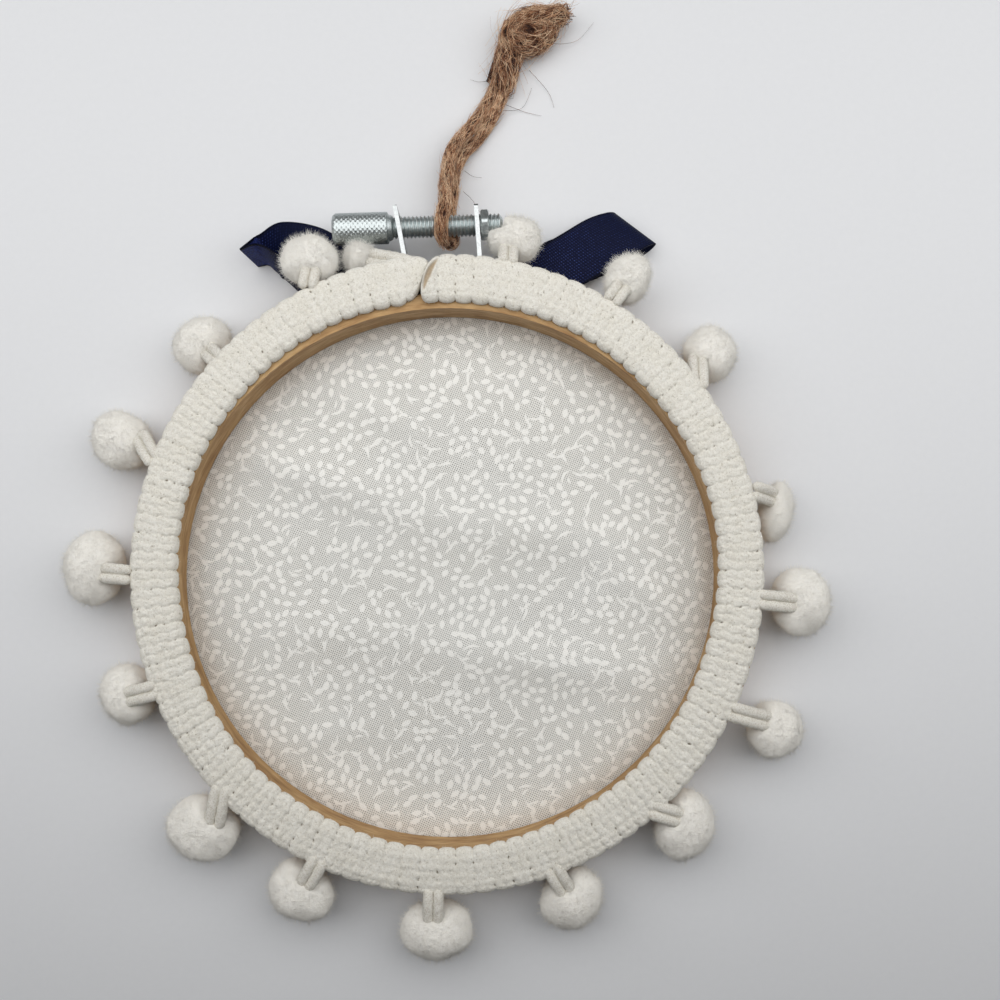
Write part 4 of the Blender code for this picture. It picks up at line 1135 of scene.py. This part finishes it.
def tie_finish():
    yarn = Finish("tie_yarn", rough=0.85, shine=0.2, sheen=0.25)
    strands = yarn.noise(3.6, 4.0, 0.75)
    colour = yarn.mix(yarn.ease(strands, 0.3, 0.6), (212, 204, 188), (248, 245, 236))
    return yarn.finish(colour, yarn.bump(strands, 0.25, 0.8))


TIE_YARN = tie_finish()


def make_tie(row):
    number, (_, ahead, across, root, tip) = row[0], pompom_frame(row)
    aside, waist = across * TIE_HALF_SPAN, (root + tip) / 2 + (0, 0, 0.3)
    bend = [tip + between(aside, ahead * TIE_HALF_SPAN, angle) - (0, 0, 0.8 * math.sin(angle))
            for angle in np.linspace(0, np.pi, 5)]
    line = [root + aside, waist + aside, *bend, waist - aside, root - aside]
    route = even_route(beside_hoop(line), TIE_STEP)
    way = travelled(route)
    _, side, up = frames(route, (0.0, 0.0, 1.0))
    angle = circle(TIE_SIDES)
    ply = np.abs(np.cos(angle - way[:, None] * 1.9))
    from_root = np.minimum(way, way[-1] - way)
    tight = 0.88 + 0.12 * smooth_step(from_root / 2.0)
    rounded = np.where(from_root > 0.7, 1, np.sqrt(np.clip(1 - (1 - from_root / 0.7) ** 2, 0.2, 1)))
    rough = 1 + np.random.default_rng(33).normal(0, 0.025, ply.shape)
    radius = TIE_RADIUS * (0.97 + 0.06 * ply) * rough * (tight * rounded)[:, None]
    ring = between(side[:, None], up[:, None], angle)
    points, ring = (route[:, None] + ring * radius[..., None]).reshape(-1, 3), ring.reshape(-1, 3)
    rng = np.random.default_rng(34)
    fuzz, fuzz_faces = fringe(points, ring, rng.integers(0, len(points), TIE_FUZZ), 0.7, rng)
    faces = [*tube_faces(len(route), TIE_SIDES), fuzz_faces + len(points)]
    add_mesh("yarn_tie_" + number, "tie_" + number, np.concatenate([points, fuzz]), faces, TIE_YARN,
             "trim_yarn")


for row in POMPOMS:
    make_tie(row)

# %% [markdown]
# ## The thumb screw
#
# The screw is turned from zinc-plated steel: a head with a diamond knurl to grip, a shoulder, and an
# M4 thread. A knurl is two families of crossed helical grooves, and a thread is one, so both are
# rings of points whose radius depends on the angle and on the distance along.

# %% The finish of zinc
def zinc_finish():
    zinc = Finish("zinc", Metallic=1.0)
    wear = zinc.noise(3.0, 4.0, 0.6)
    colour = zinc.mix(zinc.ease(wear, 0.3, 0.7), (186, 194, 194), (214, 220, 220))
    return zinc.finish(colour, zinc.bump(wear, 0.03, 0.3), zinc.ease(wear, 0.3, 0.7, 0.36, 0.5))


def ear_finish(top):
    """The ears' plating is duller than the turned parts, and the top end of each ear is darkened as painted
    shade.
    """
    zinc = Finish("dull_zinc", Metallic=1.0)
    wear = zinc.noise(2.0, 4.0, 0.65)
    colour = zinc.mix(zinc.ease(wear, 0.35, 0.65), (196, 200, 200), (232, 235, 235))
    # painted shade at the top end of each ear
    top_end_shade = zinc.ease(zinc.split(zinc.place)[1], top - 0.6, top - 0.35)
    colour = zinc.mix(top_end_shade, colour, (60, 62, 62))
    return zinc.finish(colour, zinc.bump(wear, 0.05, 0.4), zinc.ease(wear, 0.3, 0.7, 0.42, 0.6))


ear_top = max(corner[1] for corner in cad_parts["ear_right"].bound_box) / MM
ZINC, DULL_ZINC = zinc_finish(), ear_finish(ear_top)
for node in ("ear_left", "ear_right"):
    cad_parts[node].data.materials[0] = DULL_ZINC
print("finishes", ZINC.name, "and", DULL_ZINC.name)

# %% The screw and the nut
SHOULDER_RADIUS, THREAD_PITCH, THREAD_DEPTH = 2.1, 0.7, 0.36
CHAMFER_LONG, CHAMFER_DEPTH = 0.5, 0.405
KNURLS, KNURL_PITCH, KNURL_DEPTH = 24, 0.83, 0.11
HEAD_ROWS, THREAD_ROWS, SCREW_SIDES = 84, 190, KNURLS * 4
NUT_LEFT, NUT_RIGHT, NUT_RADIUS, NUT_SIDES = 5.55, 7.0, 2.9, 96
BORE = 2.3


def by_screw(x, radius, angle):
    """Points round the screw's axis, on the table."""
    sine, cosine = math.sin(SCREW_TURN), math.cos(SCREW_TURN)
    turn = [[cosine, sine, 0], [-sine, cosine, 0], [0, 0, 1]]
    place = xyz(x, radius * np.cos(angle), radius * np.sin(angle))
    return on_table(place @ turn + (0, SCREW_Y, SCREW_Z))


def wave(value):
    """A zigzag from 0 in a groove to 1 on a ridge."""
    return 1 - np.abs(2 * (value % 1) - 1)


def add_turned(name, rows, sides, sharp, body="root", closed=False):
    """A turned piece from places along the screw's axis and the radius or radii at each."""
    points = np.concatenate([by_screw(x, radius, circle(sides)) for x, radius in rows])
    faces = [grid_faces(len(rows), sides, round_rows=closed)]
    add_mesh(*name, points, faces, ZINC, "zinc_steel", body=body, sharp=sharp)


def make_screw():
    turn = circle(SCREW_SIDES) / (2 * np.pi)
    head = np.linspace(HEAD_LEFT, HEAD_RIGHT, HEAD_ROWS)[:, None]
    knurl = np.minimum(wave(KNURLS * turn + head / KNURL_PITCH), wave(KNURLS * turn - head / KNURL_PITCH))
    chamfer = CHAMFER_DEPTH * (1 - np.clip((head - HEAD_LEFT) / CHAMFER_LONG, 0, 1))
    radius = HEAD_RADIUS - KNURL_DEPTH * (1 - knurl) - chamfer
    thread = np.linspace(SHOULDER_RIGHT + 0.25, SCREW_TIP - 0.5, THREAD_ROWS)[:, None]
    ridge = THREAD_RADIUS - THREAD_DEPTH * (1 - np.minimum(1.25 * wave(thread / THREAD_PITCH - turn), 1))
    rows = [
        (HEAD_LEFT, 0.01), (HEAD_LEFT, 1.1), (HEAD_LEFT, HEAD_RADIUS - 0.62), *zip(head[:, 0], radius),
        (HEAD_RIGHT + 0.05, HEAD_RADIUS - 0.12), (HEAD_RIGHT + 0.1, HEAD_RADIUS - 0.14),
        (HEAD_RIGHT + 0.2, SHOULDER_RADIUS + 0.3), (SHOULDER_RIGHT - 0.1, SHOULDER_RADIUS),
        (SHOULDER_RIGHT + 0.1, THREAD_RADIUS - THREAD_DEPTH), *zip(thread[:, 0], ridge),
        (SCREW_TIP - 0.1, 1.3), (SCREW_TIP, 1.1), (SCREW_TIP, 0.01),
    ]
    add_turned(("thumb_screw", "screw"), rows, SCREW_SIDES, 35, body="screw")


def make_nut():
    sixth = math.pi / 6
    flat = NUT_RADIUS * math.cos(sixth) / np.cos((circle(NUT_SIDES) + sixth) % (2 * sixth) - sixth)
    chamfered, whole = np.minimum(flat, 2.5), np.minimum(flat, 2.75)
    rows = [(NUT_LEFT, BORE - 0.1), (NUT_LEFT, chamfered), (NUT_LEFT + 0.2, whole), (NUT_RIGHT - 0.2, whole),
            (NUT_RIGHT, chamfered), (NUT_RIGHT, BORE), (NUT_RIGHT - 0.15, BORE - 0.12),
            (NUT_LEFT + 0.15, BORE - 0.12)]
    add_turned(("hexagon_nut", "nut"), rows, NUT_SIDES, 25, closed=True)


make_screw()
make_nut()

# %% [markdown]
# ## The ribbon bow
#
# The bow is tied from narrow navy satin grosgrain: tight ribs run across the ribbon, and a smooth
# selvedge closes each edge. A ribbon bends easily along its length but not across, so each loop is
# a straight line across the ribbon, swept along a route and turned on the way. Its distance along
# and across are stored with the points, and the finish draws the ribs from them.

# %% The ribbon
# the last column is painted light: above 0 a painted highlight, below 0 painted shade
RIGHT_LOOP = (  # x, y, z of the middle, heading and lean of the upper edge, width, how bright (-1 to 1)
    (4.1, 52.0, 1.8, 90, 0, 7.0, 0), (10.0, 53.2, 1.8, 97, 0, 8.5, 0), (16.5, 54.9, 2.15, 108, 4, 9.8, 0),
    (22.5, 57.9, 3.0, 120, 6, 10.0, -0.1), (28.0, 61.0, 3.9, 130, 6, 10.0, -0.5),
    (32.2, 63.0, 4.0, 140, 4, 9.6, -0.7), (34.0, 63.6, 2.4, 143, 0, 9.4, -0.8),
    (32.0, 62.3, 0.7, 141, 0, 9.6, -0.8), (26.5, 60.0, 0.52, 130, 0, 10.0, -0.8),
    (20.0, 57.5, 0.52, 118, 0, 10.0, -0.8), (12.0, 54.0, 0.52, 100, 0, 8.8, -0.8),
    (4.1, 52.0, 0.52, 90, 0, 7.0, -0.8),
)
LEFT_LOOP = (
    (-4.1, 52.0, 1.8, 90, 0, 7.0, -0.5), (-10.5, 53.2, 1.85, 88, 0, 8.5, -0.5),
    (-17.0, 55.2, 2.6, 92, 10, 9.3, -0.7), (-23.4, 58.5, 3.0, 95, 16, 10.0, -0.8),
    (-29.5, 59.5, 3.8, 104, 31, 10.0, -0.8), (-32.9, 58.0, 3.86, 115, 48, 9.8, 0.0),
    (-34.0, 58.6, 4.72, 134, 72, 9.5, 0.8), (-36.7, 57.5, 4.77, 161, 83, 9.2, 0.7),
    (-35.0, 58.1, 4.65, 141, 81, 9.0, 0.9), (-33.2, 57.7, 3.99, 110, 71, 8.0, 0.4),
    (-28.8, 54.6, 3.17, 94, 58, 7.0, -0.9), (-25.2, 52.0, 2.03, 86, 31, 7.0, -0.9),
    (-18.0, 50.9, 0.56, 88, 0, 7.0, -0.9), (-10.0, 51.4, 0.52, 90, 0, 7.0, -0.9),
    (-4.1, 52.0, 0.52, 90, 0, 7.0, -0.9),
)
LOOP_STEPS, LOOP_ACROSS = 150, 25
RIBBON_HALF_THICK = 0.14
RIBS_APART, THREADS_APART, RIB_SLANT = 0.46, 0.5, 0.35


def ribbon_finish():
    satin = Finish("navy_ribbon", shine=0.4, IOR=1.2)
    along, across, painted_light = (satin.value(name) for name in ("along", "across", "painted_light"))
    ribs = satin.math("SINE", (along + across * RIB_SLANT) * (2 * math.pi / RIBS_APART))
    threads = satin.math("SINE", across * (2 * math.pi / THREADS_APART))
    speckle = satin.noise(4.0, 2.0, 0.7)
    dots = satin.ease(ribs, -0.2, 1.0) * satin.ease(threads, -0.6, 1.0) * satin.ease(speckle, 0.35, 0.7)
    # painted highlight: where the loop's painted light value is above 0 the navy turns to a bright blue sheen
    sheen = satin.mix(satin.ease(speckle, 0.3, 0.7), (18, 24, 70), (62, 76, 148))
    colour = satin.mix(satin.math("MAXIMUM", painted_light), satin.mix(dots, (10, 15, 46), (66, 84, 150)), sheen)
    edge = satin.ease(satin.math("ABSOLUTE", satin.value("edge")), 0.88, 0.95)
    colour = satin.mix(edge, colour, (6, 9, 28))
    # painted shade: where that value is below 0 the navy is darkened to near black
    colour = satin.mix(satin.math("MAXIMUM", painted_light * -1.0), colour, (12, 18, 44))
    relief = satin.bump(ribs * 0.5 + threads * 0.15, 0.08, 0.6)
    return satin.finish(colour, relief, satin.ease(speckle, 0.3, 0.7, 0.32, 0.55))


NAVY = ribbon_finish()


def make_loop(name, node, rows):
    swept = curve_through(rows, LOOP_STEPS)
    middle, width = swept[:, :3], swept[:, 5:6]
    turn, lean = np.radians(swept[:, 3:5]).T
    edge_way = xyz(np.cos(turn) * np.cos(lean), np.sin(turn) * np.cos(lean), np.sin(lean))
    face = unit(np.cross(unit(np.gradient(middle, axis=0)), edge_way))[:, None] * RIBBON_HALF_THICK
    edge = np.linspace(-1, 1, LOOP_ACROSS)
    flat = middle[:, None] + edge_way[:, None] * (edge * width / 2)[..., None]
    points = np.concatenate([flat + face, (flat - face)[:, ::-1]], axis=1)
    points[..., 2] = np.maximum(points[..., 2], 0.03)
    edge = np.tile(np.concatenate([edge, edge[::-1]]), (LOOP_STEPS, 1))
    way, columns = travelled(middle), 2 * LOOP_ACROSS
    values = {"along": np.repeat(way, columns), "across": (edge * width / 2).ravel(), "edge": edge.ravel(),
              "painted_light": np.repeat(swept[:, 6], columns)}
    loop = add_mesh(name, node, beside_hoop(points.reshape(-1, 3)), [grid_faces(LOOP_STEPS, columns)], NAVY,
                    "navy_satin", values=values, sharp=60)
    print(f"{name}: {way[-1]:.0f} mm of ribbon")


make_loop("ribbon_loop_left", "bow_loop_left", LEFT_LOOP)
make_loop("ribbon_loop_right", "bow_loop_right", RIGHT_LOOP)

# %% [markdown]
# The middle of the bow is a short turn of the same ribbon, flat under the hoop. Its CAD solid has
# the right size, so the piece is a soft band with three pleats in the same place.

# %% The bow's middle
BAND_HALF_X, BAND_HALF_Y, BAND_TOP, BAND_MIDDLE_Y = 3.7, 4.6, 2.2, 52.0
BAND_STEPS, BAND_SIDES = 25, 80


def rounded(value, power):
    return np.sign(value) * np.abs(value) ** power


def make_band():
    x = np.linspace(-BAND_HALF_X, BAND_HALF_X, BAND_STEPS)[:, None]
    turn = circle(BAND_SIDES)
    pleat = 1 - 0.12 * np.abs(np.sin(x * 1.25 + 0.25 * np.sin(turn * 2)))
    y = BAND_MIDDLE_Y + BAND_HALF_Y * rounded(np.cos(turn), 0.6) * (1 - 0.05 * (x / BAND_HALF_X) ** 2)
    z = np.maximum(BAND_TOP / 2 * (1 + rounded(np.sin(turn), 0.5) * pleat), 0.03)
    points = xyz(x, y, z).reshape(-1, 3)
    across, along = points[:, 0], np.tile(turn * 2.2, BAND_STEPS)
    values = {"along": along, "across": across, "edge": across / BAND_HALF_X, "painted_light": 0 * along}
    add_mesh("ribbon_band", "bow_knot", beside_hoop(points), tube_faces(BAND_STEPS, BAND_SIDES), NAVY,
             "navy_satin", values=values)


make_band()

# %% [markdown]
# ## Table and light
#
# The table is plain and pale. The light comes from a large soft lamp high above the top of the
# hoop, so shadows are soft and short, and the table darkens towards the bottom. The pale ceiling
# of the room is what the metal reflects.

# %% Table
def table_finish():
    paper = Finish("pale_table", rough=0.8, shine=0.3)
    grain = paper.noise(0.8, 4.0, 0.6)
    return paper.finish(paper.mix(grain, (229, 230, 232), (233, 234, 236)), paper.bump(grain, 0.02, 0.3))


bpy.ops.mesh.primitive_plane_add(size=4.0)
table = bpy.context.object
table.name = "table"
table.data.materials.append(table_finish())

# %% Light
def soft_light(name, place, wide, deep, power, aim):
    lamp = bpy.data.lights.new(name, "AREA")
    lamp.shape, lamp.size, lamp.size_y, lamp.energy = "RECTANGLE", wide, deep, power
    holder = bpy.data.objects.new(name, lamp)
    holder.location = place
    holder.rotation_euler = (Vector(aim) - Vector(place)).to_track_quat("-Z", "Y").to_euler()
    bpy.context.collection.objects.link(holder)


soft_light("window", (0.0, 0.1, 0.21), 0.9, 0.26, 1.32, (0.0, 0.08, 0))

# %% The room's light
ROOM_LIGHT, CEILING_LIGHT = 0.42, 0.7


def room_light():
    """A pale ceiling overhead and a darker room round it."""
    room = bpy.data.worlds.new("room")
    room.use_nodes = True
    tree = room.node_tree
    direction = tree.nodes.new("ShaderNodeTexCoord").outputs["Generated"]
    height = tree.nodes.new("ShaderNodeSeparateXYZ")
    tree.links.new(direction, height.inputs[0])
    light = tree.nodes.new("ShaderNodeMapRange")
    light.interpolation_type = "SMOOTHSTEP"
    edges = (("From Min", 0.55), ("From Max", 0.95), ("To Min", ROOM_LIGHT), ("To Max", CEILING_LIGHT))
    for socket, value in edges:
        light.inputs[socket].default_value = value
    tree.links.new(height.outputs["Z"], light.inputs["Value"])
    tree.links.new(light.outputs[0], tree.nodes["Background"].inputs["Strength"])
    return room


world = room_light()
bpy.context.scene.world = world
bpy.context.scene.view_settings.view_transform = "Standard"
print("table, window and room are set")

# %% [markdown]
# ## Triangles
#
# The triangles of all the pieces made here are added up. The dressed part has to stay as big as the
# CAD part, apart from a little fluff.

# %% Triangles in all
print(sum(triangle_counts.values()), "triangles in all")
